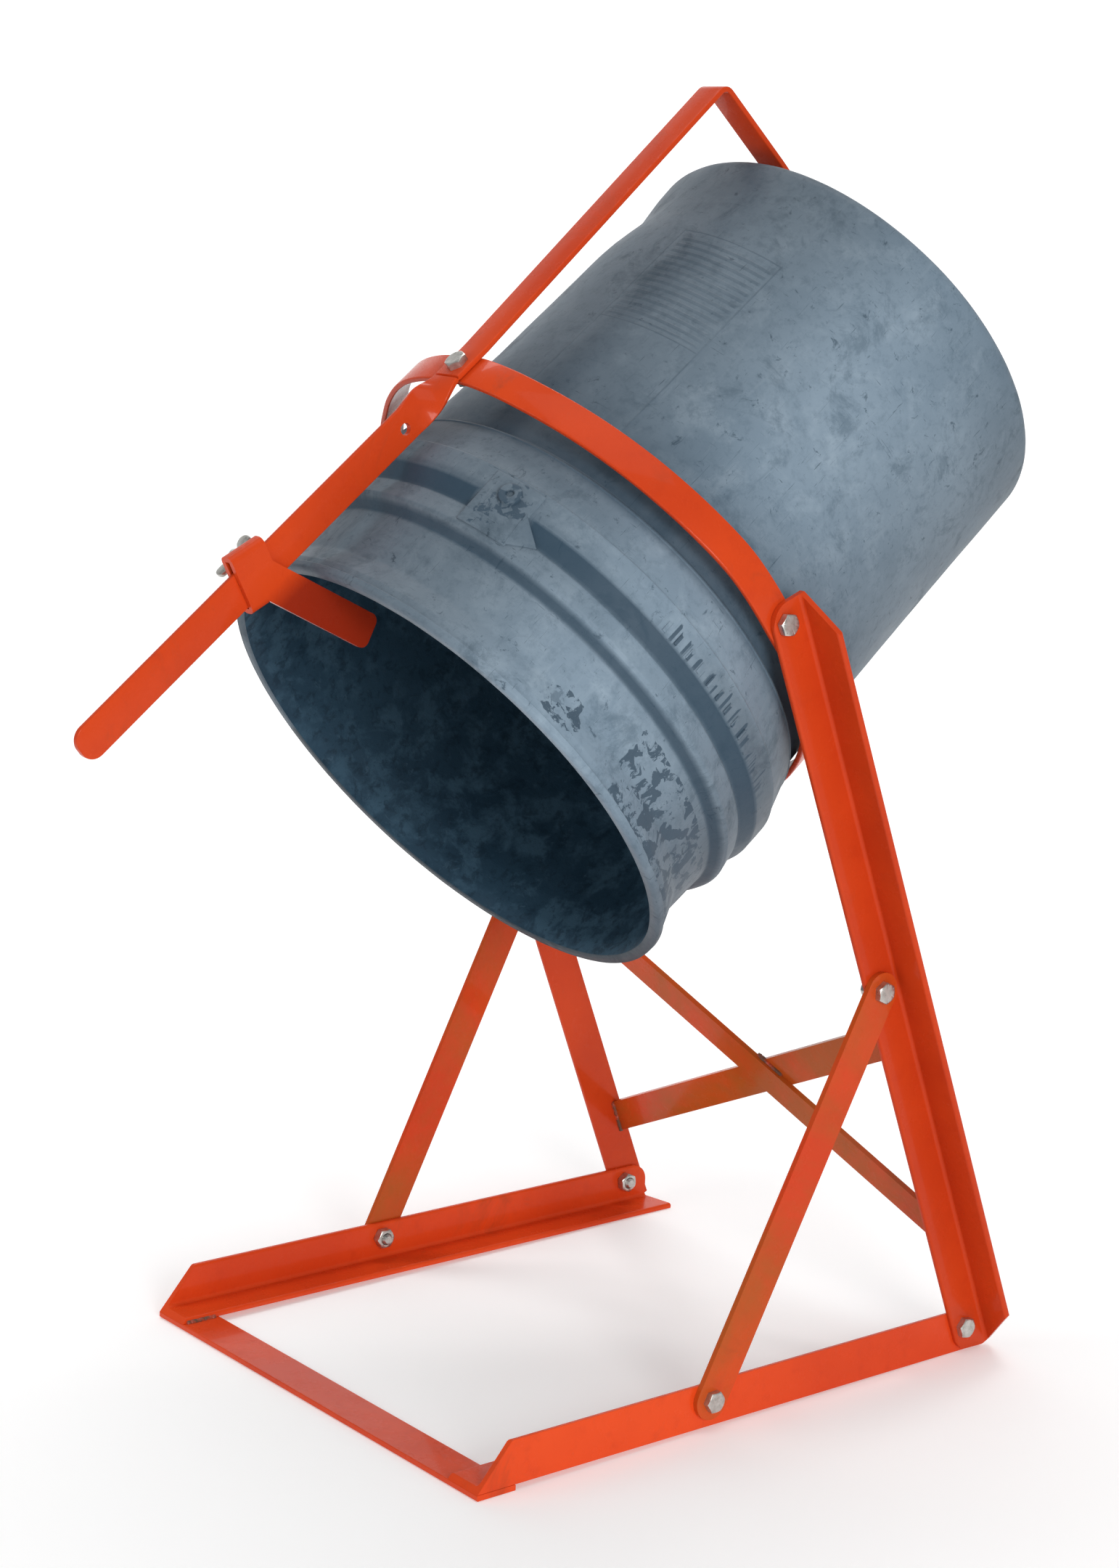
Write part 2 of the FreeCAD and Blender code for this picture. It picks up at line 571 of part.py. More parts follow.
def strap_welds():
    """Beads on both edges of the strap's return leg, where it lies on the hoop's lower side."""
    side = STRAP_WIDTH / 2
    return [bead(cradle_point(-8.0, -HOOP_BOTTOM, side * sign), cradle_point(8.0, -HOOP_BOTTOM, side * sign), 1.4)
            for sign in (-1, 1)]


# ---------------------------------------------------------------- assembly

def build():
    """Every piece of the object, by node name."""
    pieces = {"front_crossbar": front_crossbar()}
    sided = {"foot_rail": foot_rail(), "post": post(), "brace": brace(), **side_fasteners()}
    for name, right in sided.items():
        pieces["right_" + name] = right
        pieces["left_" + name] = mirrored(right)
    pieces["x_brace_rear_bar"] = x_brace_bar(*RISING_ENDS, CROSS_SETBACK)
    pieces["x_brace_front_bar"] = x_brace_bar(*FALLING_ENDS, CROSS_SETBACK - BAR_WALL)
    pieces["x_brace_crossing_weld"] = Part.makeCompound(x_centre_welds())
    pieces["x_brace_end_welds"] = Part.makeCompound(x_end_welds())
    pieces["crossbar_welds"] = Part.makeCompound(crossbar_welds())
    pieces["hoop"] = hoop()
    pieces["handle_strap"] = handle_strap()
    rim = HOOP_TOP + STRAP_WALL
    inside = HOOP_TOP - HOOP_WALL
    pieces["hoop_bolt"] = bolt(cradle_point(0, rim), OUT, rim - inside, 10)
    pieces["hoop_nut"] = nut(cradle_point(0, inside), OUT * -1, 0)
    pieces["strap_welds"] = Part.makeCompound(strap_welds())
    pieces["pail"] = pail()
    pieces["clamp_body"] = clamp_body()
    pieces["clamp_weld_nut"] = clamp_weld_nut()
    pieces["wing_screw"] = wing_screw()
    return pieces


def lean(shape):
    """Leans the stand back onto the crossbar's rear lower edge and the rails' rear ends."""
    placed = shape.copy()
    placed.rotate(V(0, RAIL_FRONT + CROSSBAR_DEPTH, -BAR_WALL), AX, -LEAN)
    return placed


def to_floor(shapes):
    """Leans every shape and puts the origin under the middle of the whole, on the floor."""
    leaned = {name: lean(shape) for name, shape in shapes.items()}
    box = FreeCAD.BoundBox()
    for shape in leaned.values():
        box.add(shape.optimalBoundingBox(False, False))
    shift = V(-box.Center.x, -box.Center.y, -box.ZMin)
    for shape in leaned.values():
        shape.translate(shift)
    return leaned, shift


def main():
    os.makedirs("parts", exist_ok=True)
    shapes, shift = to_floor(build())
    for name, shape in shapes.items():
        shape.exportStep("parts/" + name + ".step")
    axis = lean(Part.Vertex(PIVOT)).Point + shift
    print("swing axis at", round(axis.x, 4), round(axis.y, 4), round(axis.z, 4), "lean", round(LEAN, 5))


if __name__ == "__main__":
    main()
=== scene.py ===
import json
import math
import random

import bmesh
import bpy
from mathutils import Matrix, Vector, noise


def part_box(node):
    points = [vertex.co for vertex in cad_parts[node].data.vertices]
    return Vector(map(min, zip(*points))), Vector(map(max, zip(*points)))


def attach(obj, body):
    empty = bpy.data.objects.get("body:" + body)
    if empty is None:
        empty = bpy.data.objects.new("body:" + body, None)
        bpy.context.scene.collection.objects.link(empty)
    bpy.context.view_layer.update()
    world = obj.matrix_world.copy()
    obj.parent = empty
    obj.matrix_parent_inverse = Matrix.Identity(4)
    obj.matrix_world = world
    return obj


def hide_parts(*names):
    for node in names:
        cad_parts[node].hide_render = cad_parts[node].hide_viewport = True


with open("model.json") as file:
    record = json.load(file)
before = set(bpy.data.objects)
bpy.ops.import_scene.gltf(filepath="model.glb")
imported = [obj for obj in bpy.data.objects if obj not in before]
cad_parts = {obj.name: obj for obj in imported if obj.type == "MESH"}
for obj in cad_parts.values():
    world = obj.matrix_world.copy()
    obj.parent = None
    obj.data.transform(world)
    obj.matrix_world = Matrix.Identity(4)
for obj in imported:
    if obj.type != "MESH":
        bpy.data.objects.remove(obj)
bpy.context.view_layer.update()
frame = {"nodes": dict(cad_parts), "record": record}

MM = 0.001
X = Vector((1, 0, 0))

# ------ the frame's own measures (mm)

HALF_WIDTH = 154.3
LEAN = math.radians(0.51704)
POUR = math.radians(39.14) - LEAN
HOOP = dict(across=153.9, top=158.0, bottom=154.3, wall=3.2, width=19.5)
HOOP_UPPER = [
    (8, 155.3), (16, 156.4), (26, 154.2), (36, 152.3), (48, 151.0), (60, 151.1), (70, 152.6), (80, 156.0),
    (86.5, 158.1), (90, 158.0), (93.5, 158.1), (100, 159.2), (109, 159.0), (118, 156.0), (127, 152.5),
    (138, 150.8), (150, 152.4), (162, 155.6), (172, 155.3),
]
HOOP_LOWER = [(8, 155.3), (18, 156.0), (30, 154.8), (45, 153.4), (60, 153.4), (75, 153.9), (86.5, 154.4)]
STRAP = dict(width=19.5, wall=3.2, lift=-14.0, end=10.0, bend=5.4)
STRAP_CORNER = (-232.3, 169.3)
STRAP_CROSS = (-242.5, 104.0)
STRAP_BOW = (-251.0, 0.0)
TWIST = (9.0, 46.0)
HANDLE = dict(out=157.4, end=298.35, round=8.5, hole=(48.2, 156.2), hole_r=3.25)
PAIL_OFFSET = -9.9
EAR_ANGLES = (61.5, 241.5)
CLAMP = dict(gap=0.35, wall=3.0, screw=(162.0, 164.5), screw_turn=12.0, nut=5.0)
BOLT_R = 3.175
THREAD_PITCH = 1.27
HEAD_FLATS = 11.1
HEAD_HEIGHT = 4.0
NUT_HEIGHT = 5.5
ARC_RADIUS = 0.15  # metres: the pail_place attribute holds the way round the pail at this radius
PANEL = dict(angles=(56, 85), bottom=-0.161, cross=-0.086, top=-0.022, rib_wave=1257.0)  # degrees, m, rad/m
TONGUE_SHADOW_START = (166.6, 141.0)  # painted shadow: the tongue is darker below this point of the cradle

low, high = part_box("right_pivot_bolt")
PIVOT = Vector((0, (low.y + high.y) / 2, (low.z + high.z) / 2))
low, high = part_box("right_heel_bolt")
HEEL = Vector((0, (low.y + high.y) / 2, (low.z + high.z) / 2))
AWAY = Vector((0, -math.cos(POUR), -math.sin(POUR)))
OUT = Vector((0, -math.sin(POUR), math.cos(POUR)))
UP_POST = (PIVOT - HEEL).normalized()
BEHIND = UP_POST.cross(X)


def cradle(along, out, across=0.0):
    """A point of the cradle, from millimetres along the pail axis, out towards the handle and across."""
    return PIVOT + (AWAY * along + OUT * out + X * across) * MM


def round_pail(along, radius, degrees):
    """A point round the pail's axis; the angle runs from +X towards the handle."""
    turn = math.radians(degrees)
    return cradle(along, PAIL_OFFSET + radius * math.sin(turn), radius * math.cos(turn))


def post_point(along, behind, across=0.0):
    """A point of the stand, from millimetres up the post from the heel bolts, behind and across."""
    return HEEL + (UP_POST * along + BEHIND * behind + X * across) * MM


# ------ mesh helpers

def make_mesh(name, points, faces, smooth=True):
    """A new object with its faces turned outwards."""
    mesh = bpy.data.meshes.new(name)
    mesh.from_pydata([tuple(p) for p in points], [], faces)
    mesh.validate()
    work = bmesh.new()
    work.from_mesh(mesh)
    bmesh.ops.recalc_face_normals(work, faces=work.faces)
    work.to_mesh(mesh)
    work.free()
    for polygon in mesh.polygons:
        polygon.use_smooth = smooth
    piece = bpy.data.objects.new(name, mesh)
    bpy.context.scene.collection.objects.link(piece)
    return piece


def skin(rings, sides, closed=False):
    """Quads between neighbouring rings of points; closed joins the last ring to the first."""
    faces = []
    for r in range(rings if closed else rings - 1):
        a, b = r * sides, (r + 1) % rings * sides
        for k in range(sides):
            n = (k + 1) % sides
            faces.append((a + k, a + n, b + n, b + k))
    return faces


def on_circle(centre, side, other, turn, reach):
    """The point at an angle round a centre, reach millimetres out."""
    return centre + (side * math.cos(turn) + other * math.sin(turn)) * reach * MM


def merge_points(piece, distance):
    """Joins points that coincide and turns all faces outwards."""
    work = bmesh.new()
    work.from_mesh(piece.data)
    bmesh.ops.remove_doubles(work, verts=work.verts, dist=distance)
    bmesh.ops.recalc_face_normals(work, faces=work.faces)
    work.to_mesh(piece.data)
    work.free()
    return piece


def sharpen(piece, degrees):
    """Keeps edges steeper than the angle sharp under smooth shading."""
    limit = math.radians(degrees)
    work = bmesh.new()
    work.from_mesh(piece.data)
    for edge in work.edges:
        edge.smooth = not (edge.is_boundary or edge.calc_face_angle(0) > limit)
    work.to_mesh(piece.data)
    work.free()
    return piece


def bake_modifiers(piece):
    """Turns the piece's modifiers into plain mesh."""
    bpy.context.view_layer.update()
    graph = bpy.context.evaluated_depsgraph_get()
    mesh = bpy.data.meshes.new_from_object(piece.evaluated_get(graph))
    piece.modifiers.clear()
    piece.data = mesh
    return piece


def soften(piece, width, degrees):
    """Rounds the edges steeper than the angle, by a modifier; the width is in millimetres."""
    step = piece.modifiers.new("rolled_edge", "BEVEL")
    step.width = width * MM
    step.segments = 3
    step.limit_method = "ANGLE"
    step.angle_limit = math.radians(degrees)


def cut_with(piece, cutter):
    """Takes the cutter's shape out of the piece."""
    step = piece.modifiers.new("cut", "BOOLEAN")
    step.operation = "DIFFERENCE"
    step.solver = "EXACT"
    step.object = cutter
    bake_modifiers(piece)
    bpy.data.objects.remove(cutter)
    return piece


def rod(name, start, finish, radius, sides=48):
    """A plain cylinder between two points, used to cut holes."""
    along = (finish - start).normalized()
    side = along.orthogonal().normalized()
    other = along.cross(side)
    points = []
    for end in (start, finish):
        for k in range(sides):
            points.append(on_circle(end, side, other, 2 * math.pi * k / sides, radius))
    faces = skin(2, sides)
    faces.append(tuple(reversed(range(sides))))
    faces.append(tuple(range(sides, 2 * sides)))
    return make_mesh(name, points, faces, smooth=False)


def rounded_path(corners, step=3.0):
    """Points along straight runs joined by tangent arcs; a corner is (a, b, radius)."""
    path = []
    count = len(corners)
    for i, (a, b, radius) in enumerate(corners):
        here = Vector((a, b))
        if radius <= 0 or i in (0, count - 1):
            path.append(here)
            continue
        back = (Vector(corners[i - 1][:2]) - here).normalized()
        ahead = (Vector(corners[i + 1][:2]) - here).normalized()
        half = back.angle(ahead) / 2
        centre = here + (back + ahead).normalized() * (radius / math.sin(half))
        start = here + back * (radius / math.tan(half)) - centre
        finish = here + ahead * (radius / math.tan(half)) - centre
        sweep = start.angle_signed(finish)
        parts = max(3, int(abs(sweep) * radius / step) + 2, int(abs(sweep) / 0.2) + 1)
        for k in range(parts + 1):
            turned = start.copy()
            turned.rotate(Matrix.Rotation(-sweep * k / parts, 2))
            path.append(centre + turned)
    return path


def resample(path, spacing):
    """Adds points to the long straight runs of a path."""
    dense = [path[0]]
    for start, finish in zip(path, path[1:]):
        parts = max(1, int((finish - start).length / spacing))
        dense.extend(start.lerp(finish, k / parts) for k in range(1, parts + 1))
    return dense


def bar_profile(width, wall, radius):
    """Rounded rectangle, as (wide, thick) offsets from the bar's centre."""
    spots = []
    steps = 4
    for sx, sy, first in ((1, 1, 0), (-1, 1, 90), (-1, -1, 180), (1, -1, 270)):
        for k in range(steps + 1):
            turn = math.radians(first + 90 * k / steps)
            spots.append((sx * (width / 2 - radius) + radius * math.cos(turn),
                          sy * (wall / 2 - radius) + radius * math.sin(turn)))
    return spots


def sweep(name, stations, profile, closed=False):
    """Runs a profile through stations of (centre, wide axis, thick axis, wide scale, thick scale)."""
    points = []
    size, count = len(profile), len(stations)
    for centre, wide, thick, wide_scale, thick_scale in stations:
        points.extend(centre + (wide * w * wide_scale + thick * t * thick_scale) * MM for w, t in profile)
    faces = skin(count, size, closed)
    if not closed:
        faces.append(tuple(range(size)))
        faces.append(tuple(range((count - 1) * size, count * size)))
    return make_mesh(name, points, faces)


def lathe(name, profile, place, parts, waver):
    """Turns a profile of (along, radius) about an axis.

    place(along, radius, degrees) gives the point and waver(along, radius, degrees) moves its radius.
    """
    points, faces = [], []
    rows = len(profile)
    for j in range(parts):
        degrees = 360 * j / parts
        for along, radius in profile:
            points.append(place(along, radius + waver(along, radius, degrees), degrees))
    for j in range(parts):
        n = (j + 1) % parts
        for i in range(rows - 1):
            faces.append((j * rows + i, j * rows + i + 1, n * rows + i + 1, n * rows + i))
    return merge_points(make_mesh(name, points, faces), 1e-7)


# ------ material helpers

def opaque(value):
    """Gives a plain colour its alpha; anything else stays as it is."""
    return (*value, 1) if isinstance(value, tuple) and len(value) == 3 else value


class Shader:
    """Short hand for building a node material."""

    def __init__(self, name):
        self.material = bpy.data.materials.new(name)
        self.material.use_nodes = True
        self.nodes = self.material.node_tree.nodes
        self.links = self.material.node_tree.links
        self.principled = self.nodes["Principled BSDF"]
        self.coords = self.nodes.new("ShaderNodeTexCoord").outputs["Object"]

    def plug(self, socket, value):
        if isinstance(value, bpy.types.NodeSocket):
            self.links.new(value, socket)
        else:
            socket.default_value = value

    def attribute(self, name):
        node = self.nodes.new("ShaderNodeAttribute")
        node.attribute_name = name
        return node

    def scaled(self, source, factors, shift=(0, 0, 0)):
        node = self.nodes.new("ShaderNodeMapping")
        self.plug(node.inputs["Vector"], source)
        node.inputs["Scale"].default_value = factors
        node.inputs["Location"].default_value = shift
        return node.outputs["Vector"]

    def noise(self, scale, detail=6.0, rough=0.55, source=None, twist=0.0):
        node = self.nodes.new("ShaderNodeTexNoise")
        self.plug(node.inputs["Vector"], source or self.coords)
        node.inputs["Scale"].default_value = scale
        node.inputs["Detail"].default_value = detail
        node.inputs["Roughness"].default_value = rough
        node.inputs["Distortion"].default_value = twist
        return node.outputs["Fac"]

    def cells(self, scale, source, output):
        """Cell pattern: Distance from the cell's middle, or Color, one random value for each cell."""
        node = self.nodes.new("ShaderNodeTexVoronoi")
        self.plug(node.inputs["Vector"], source)
        node.inputs["Scale"].default_value = scale
        return node.outputs[output]

    def warped(self, source, scale, amount):
        """Coordinates pushed about by noise."""
        node = self.nodes.new("ShaderNodeTexNoise")
        self.plug(node.inputs["Vector"], source)
        node.inputs["Scale"].default_value = scale
        node.inputs["Detail"].default_value = 4
        shift = self.nodes.new("ShaderNodeVectorMath")
        shift.operation = "MULTIPLY_ADD"
        self.plug(shift.inputs[0], node.outputs["Color"])
        shift.inputs[1].default_value = (amount, amount, amount)
        self.plug(shift.inputs[2], source)
        return shift.outputs["Vector"]

    def height_above(self, origin, direction):
        """Distance of the point from a plane through origin, along direction."""
        away = self.nodes.new("ShaderNodeVectorMath")
        away.operation = "SUBTRACT"
        self.plug(away.inputs[0], self.coords)
        away.inputs[1].default_value = origin
        node = self.nodes.new("ShaderNodeVectorMath")
        node.operation = "DOT_PRODUCT"
        self.plug(node.inputs[0], away.outputs["Vector"])
        node.inputs[1].default_value = direction
        return node.outputs["Value"]

    def span(self, value, low, high, to_low=0.0, to_high=1.0):
        """Maps low to to_low and high to to_high, clamped at both ends."""
        node = self.nodes.new("ShaderNodeMapRange")
        self.plug(node.inputs["Value"], value)
        node.inputs["From Min"].default_value = low
        node.inputs["From Max"].default_value = high
        node.inputs["To Min"].default_value = to_low
        node.inputs["To Max"].default_value = to_high
        return node.outputs["Result"]

    def band(self, value, low, high, soft):
        """1 between low and high, fading to 0 within soft of them."""
        rise = self.span(value, low - soft, low)
        return self.maths("MULTIPLY", rise, self.span(value, high + soft, high))

    def line(self, value, start):
        """A fine line from start on."""
        return self.band(value, start, start + 0.0006, 0.0003)

    def axis(self, source, number):
        node = self.nodes.new("ShaderNodeSeparateXYZ")
        self.plug(node.inputs[0], source)
        return node.outputs[number]

    def maths(self, kind, first, second=0.0):
        node = self.nodes.new("ShaderNodeMath")
        node.operation = kind
        self.plug(node.inputs[0], first)
        self.plug(node.inputs[1], second)
        return node.outputs["Value"]

    def mix(self, share, first, second, blend="MIX"):
        node = self.nodes.new("ShaderNodeMix")
        node.data_type = "RGBA"
        node.blend_type = blend
        self.plug(node.inputs["Factor"], share)
        self.plug(node.inputs[6], opaque(first))
        self.plug(node.inputs[7], opaque(second))
        return node.outputs[2]

    def stain(self, base, share, strength, colour):
        """Lays a colour over base where share is high."""
        return self.mix(self.maths("MULTIPLY", share, strength), base, colour)

    def bump(self, height, strength, distance, under=None):
        node = self.nodes.new("ShaderNodeBump")
        self.plug(node.inputs["Height"], height)
        node.inputs["Strength"].default_value = strength
        node.inputs["Distance"].default_value = distance
        if under is not None:
            self.plug(node.inputs["Normal"], under)
        return node.outputs["Normal"]

    def finish(self, **values):
        """Sets the Principled shader's inputs and hands the material over."""
        for name, value in values.items():
            self.plug(self.principled.inputs[name.replace("_", " ")], value)
        return self.material


def orange_paint(name, dust=0.0, shadow_plane=None, painted_light_gain=1.0):
    """Glossy powder coat: slight orange peel, darker thin places, grime and a few chips.

    dust adds a brown haze; a plane (origin, direction) for the painted shadow darkens the paint below it;
    the gain factor lightens the whole paint as painted light.
    """
    s = Shader(name)
    cloud = s.noise(9.0, 4, 0.5)
    # painted light: the gain factor lightens both paint colours
    thin = tuple(painted_light_gain * part for part in (0.510, 0.042, 0.0080))
    full = tuple(painted_light_gain * part for part in (0.630, 0.060, 0.0105))
    colour = s.mix(s.span(cloud, 0.35, 0.7), thin, full)
    colour = s.mix(s.span(s.noise(90.0, 5, 0.6), 0.55, 0.8, 0.0, 0.25), colour, (0.400, 0.026, 0.007))
    blots = s.span(s.noise(26.0, 8, 0.7, twist=0.6), 0.55, 0.72)
    grime = s.maths("MULTIPLY", blots, s.span(cloud, 0.40, 0.60))
    colour = s.stain(colour, grime, 0.45, (0.230, 0.040, 0.013))
    if dust:
        haze = s.span(s.noise(7.0, 6, 0.65, twist=0.4), 0.40, 0.62)
        colour = s.stain(colour, haze, dust, (0.330, 0.098, 0.014))
    # painted shadow: the paint turns dark below the given plane
    if shadow_plane:
        deep = s.span(s.height_above(*shadow_plane), 0.006, -0.006, 0.0, 0.72)
        colour = s.mix(deep, colour, (0.170, 0.011, 0.006))
    chips = s.span(s.cells(260.0, s.coords, "Distance"), 0.045, 0.02)
    chips = s.maths("MULTIPLY", chips, s.span(s.noise(38.0, 3, 0.6), 0.63, 0.66))
    colour = s.stain(colour, chips, 0.8, (0.090, 0.045, 0.030))
    rough = s.span(s.noise(55.0, 6, 0.65), 0.3, 0.75, 0.20, 0.34)
    rough = s.maths("ADD", rough, s.maths("MULTIPLY", grime, 0.25))
    peel = s.bump(s.noise(420.0, 2, 0.5), 0.10, 0.0004)
    peel = s.bump(s.noise(60.0, 3, 0.5), 0.08, 0.0010, peel)
    peel = s.bump(chips, -0.35, 0.0003, peel)
    return s.finish(Base_Color=colour, Roughness=rough, Normal=peel, Coat_Weight=0.14,
                    Coat_Roughness=0.05, Specular_IOR_Level=0.08)


def weld_paint():
    """Paint over weld beads: darker, burnt in places."""
    s = Shader("weld_paint")
    burnt = s.span(s.noise(120.0, 6, 0.65), 0.36, 0.52)
    colour = s.mix(burnt, (0.560, 0.050, 0.014), (0.110, 0.045, 0.022))
    rough = s.span(burnt, 0, 1, 0.30, 0.62)
    lumps = s.bump(s.noise(340.0, 4, 0.6), 0.5, 0.0006)
    return s.finish(Base_Color=colour, Roughness=rough, Normal=lumps, Coat_Weight=0.15, Coat_Roughness=0.2)


def zinc_plate():
    """Bright zinc plate with dull patches and fine scratches."""
    s = Shader("zinc_plate")
    cloud = s.noise(260.0, 5, 0.6)
    colour = s.mix(s.span(cloud, 0.35, 0.7), (0.420, 0.410, 0.380), (0.640, 0.630, 0.600))
    stain = s.span(s.noise(700.0, 4, 0.7), 0.60, 0.72)
    colour = s.stain(colour, stain, 0.6, (0.170, 0.150, 0.120))
    rough = s.maths("ADD", s.span(cloud, 0.3, 0.75, 0.24, 0.42), s.maths("MULTIPLY", stain, 0.2))
    scratches = s.noise(1.0, 4, 0.6, s.scaled(s.coords, (900, 3800, 900)))
    return s.finish(Base_Color=colour, Roughness=rough, Metallic=0.9, Normal=s.bump(scratches, 0.12, 0.0002))


def shaded_inside_plastic():
    """Deep blue plastic of the pail's inside, painted dark as painted shade: cloudy, pitted, with pale
    wisps.
    """
    s = Shader("pail_inside_shaded")
    cloud = s.noise(9.0, 6, 0.6)
    mottle = s.noise(46.0, 8, 0.68, twist=0.3)
    base = s.mix(s.span(cloud, 0.34, 0.66), (0.010, 0.029, 0.050), (0.022, 0.054, 0.086))
    base = s.mix(s.span(mottle, 0.48, 0.60, 0.0, 0.75), base, (0.040, 0.086, 0.128))
    pits = s.span(s.noise(130.0, 7, 0.75, twist=0.4), 0.52, 0.60)
    base = s.stain(base, pits, 0.55, (0.006, 0.018, 0.032))
    wisps = s.span(s.noise(75.0, 7, 0.75, twist=2.2), 0.60, 0.68)
    base = s.stain(base, wisps, 0.45, (0.060, 0.110, 0.155))
    rough = s.span(mottle, 0.3, 0.7, 0.50, 0.78)
    marks = s.bump(s.noise(150.0, 6, 0.7), 0.40, 0.0010)
    return s.finish(Base_Color=base, Roughness=rough, Normal=marks, Specular_IOR_Level=0.12)


def hairlines(s, place):
    """Fine scratches, most of them along the pail and some across."""
    lengthwise = s.noise(1.0, 3, 0.6, s.scaled(place, (60, 1300, 45)), 0.8)
    crosswise = s.noise(1.0, 3, 0.6, s.scaled(place, (1050, 70, 45), (2, 5, 0)), 1.1)
    return s.maths("MAXIMUM", s.span(lengthwise, 0.665, 0.715), s.span(crosswise, 0.675, 0.725))


def torn_film(s, place):
    """Flaking residue with torn edges, where the point attribute says that the pail is worn."""
    bent = s.warped(place, 80.0, 0.009)
    scraps = s.span(s.cells(150.0, bent, "Color"), 0.52, 0.54)
    scraps = s.maths("MULTIPLY", scraps, s.span(s.noise(60.0, 6, 0.7, bent), 0.46, 0.49))
    shreds = s.noise(1.0, 7, 0.66, s.scaled(place, (95, 95, 95), (4, 9, 2)), 1.1)
    torn = s.maths("MAXIMUM", scraps, s.span(shreds, 0.565, 0.58))
    ragged = s.span(s.noise(34.0, 4, 0.6, place), 0.35, 0.65, -0.35, 0.35)
    worn = s.maths("ADD", s.attribute("pail_worn").outputs["Fac"], ragged)
    return s.maths("MULTIPLY", torn, s.span(worn, 0.50, 0.54))


def collar_bars(s, place):
    """Dark bars of uneven length across the collar, where the point attribute allows them."""
    bars = s.span(s.noise(1.0, 1, 0.5, s.scaled(place, (0, 290, 0), (0, 7, 0))), 0.51, 0.54)
    reach = s.noise(1.0, 2, 0.6, s.scaled(place, (30, 150, 0), (5, 2, 0)))
    reach = s.span(reach, 0.35, 0.65, 0.0545, 0.0460)
    bars = s.maths("MULTIPLY", bars, s.span(s.maths("SUBTRACT", s.axis(place, 0), reach), 0.0, 0.0008))
    return s.maths("MULTIPLY", bars, s.attribute("pail_ticks").outputs["Fac"])


def moulded_panel(s, place):
    """Raised lines of the moulded panel: a frame with a cross line, and ribs in its lower part."""
    along, around = s.axis(place, 0), s.axis(place, 1)
    low, high = (math.radians(angle) * ARC_RADIUS for angle in PANEL["angles"])
    ribs = s.band(along, PANEL["bottom"] + 0.004, PANEL["cross"] - 0.003, 0.001)
    ribs = s.maths("MULTIPLY", ribs, s.band(around, low + 0.004, high - 0.005, 0.002))
    wave = s.maths("SINE", s.maths("MULTIPLY", along, PANEL["rib_wave"]))
    ribs = s.maths("MULTIPLY", ribs, s.span(wave, -0.2, 0.6))
    sides = s.maths("MAXIMUM", s.line(around, low), s.line(around, high))
    sides = s.maths("MULTIPLY", sides, s.band(along, PANEL["bottom"], PANEL["top"], 0.001))
    ends = s.maths("MAXIMUM", s.line(along, PANEL["bottom"]), s.line(along, PANEL["cross"]))
    ends = s.maths("MULTIPLY", ends, s.band(around, low, high, 0.0003))
    return s.maths("MAXIMUM", ribs, s.maths("MAXIMUM", sides, ends))


def pail_plastic():
    """Scuffed blue-grey polyethylene: cloudy fading, smudges, hairline scratches and flaking residue, with
    painted light and shade from point attributes.
    """
    s = Shader("pail_plastic")
    place = s.attribute("pail_place").outputs["Vector"]
    cloud = s.noise(9.0, 6, 0.6)
    mottle = s.noise(46.0, 8, 0.68, twist=0.3)
    base = s.mix(s.span(cloud, 0.34, 0.66), (0.142, 0.196, 0.248), (0.205, 0.268, 0.326))
    base = s.mix(s.span(mottle, 0.50, 0.68, 0.0, 0.42), base, (0.270, 0.338, 0.398))
    base = s.mix(s.span(s.noise(170.0, 6, 0.72), 0.50, 0.34, 0.0, 0.34), base, (0.084, 0.126, 0.166))
    smudge = s.noise(30.0, 9, 0.74, s.scaled(s.coords, (1, 1, 1), (3, 1, 7)), 0.5)
    smudge = s.span(smudge, 0.535, 0.65)
    base = s.stain(base, smudge, 0.50, (0.062, 0.098, 0.132))
    streaks = s.noise(1.0, 6, 0.70, s.scaled(place, (14, 120, 6)))
    base = s.mix(s.span(streaks, 0.58, 0.78, 0.0, 0.22), base, (0.300, 0.365, 0.420))
    hairs = hairlines(s, place)
    base = s.stain(base, hairs, 0.70, (0.050, 0.078, 0.106))
    specks = s.span(s.noise(120.0, 6, 0.78, twist=0.6), 0.610, 0.670)
    base = s.stain(base, specks, 0.72, (0.044, 0.072, 0.100))
    # painted light and shade: the colour is multiplied by the point's painted lighting
    base = s.mix(1.0, base, s.attribute("pail_painted_lighting").outputs["Fac"], "MULTIPLY")
    flakes = torn_film(s, place)
    base = s.stain(base, flakes, 0.86, (0.040, 0.068, 0.098))
    base = s.stain(base, collar_bars(s, place), 0.85, (0.038, 0.066, 0.096))
    moulded = moulded_panel(s, place)
    # painted shade along the panel's raised lines, stronger in some places
    panel_shade = s.maths("MULTIPLY", moulded, s.span(s.noise(22.0, 5, 0.6), 0.38, 0.60, 0.10, 0.38))
    base = s.mix(panel_shade, base, (0.040, 0.066, 0.092))
    # painted shade in recesses, under the hoop and along edges
    base = s.stain(base, s.attribute("pail_painted_shade").outputs["Fac"], 0.88, (0.022, 0.048, 0.076))
    rough = s.maths("ADD", s.span(mottle, 0.3, 0.75, 0.40, 0.58), s.maths("MULTIPLY", smudge, 0.08))
    marks = s.bump(s.noise(1.0, 6, 0.7, s.scaled(place, (14, 420, 14))), 0.10, 0.0005)
    marks = s.bump(s.noise(260.0, 5, 0.7), 0.14, 0.0006, marks)
    marks = s.bump(hairs, -0.30, 0.0003, marks)
    marks = s.bump(flakes, 0.30, 0.0004, marks)
    marks = s.bump(moulded, 0.45, 0.0004, marks)
    return s.finish(Base_Color=base, Roughness=rough, Normal=marks, Specular_IOR_Level=0.15)


ORANGE = orange_paint("orange_powder_coat")
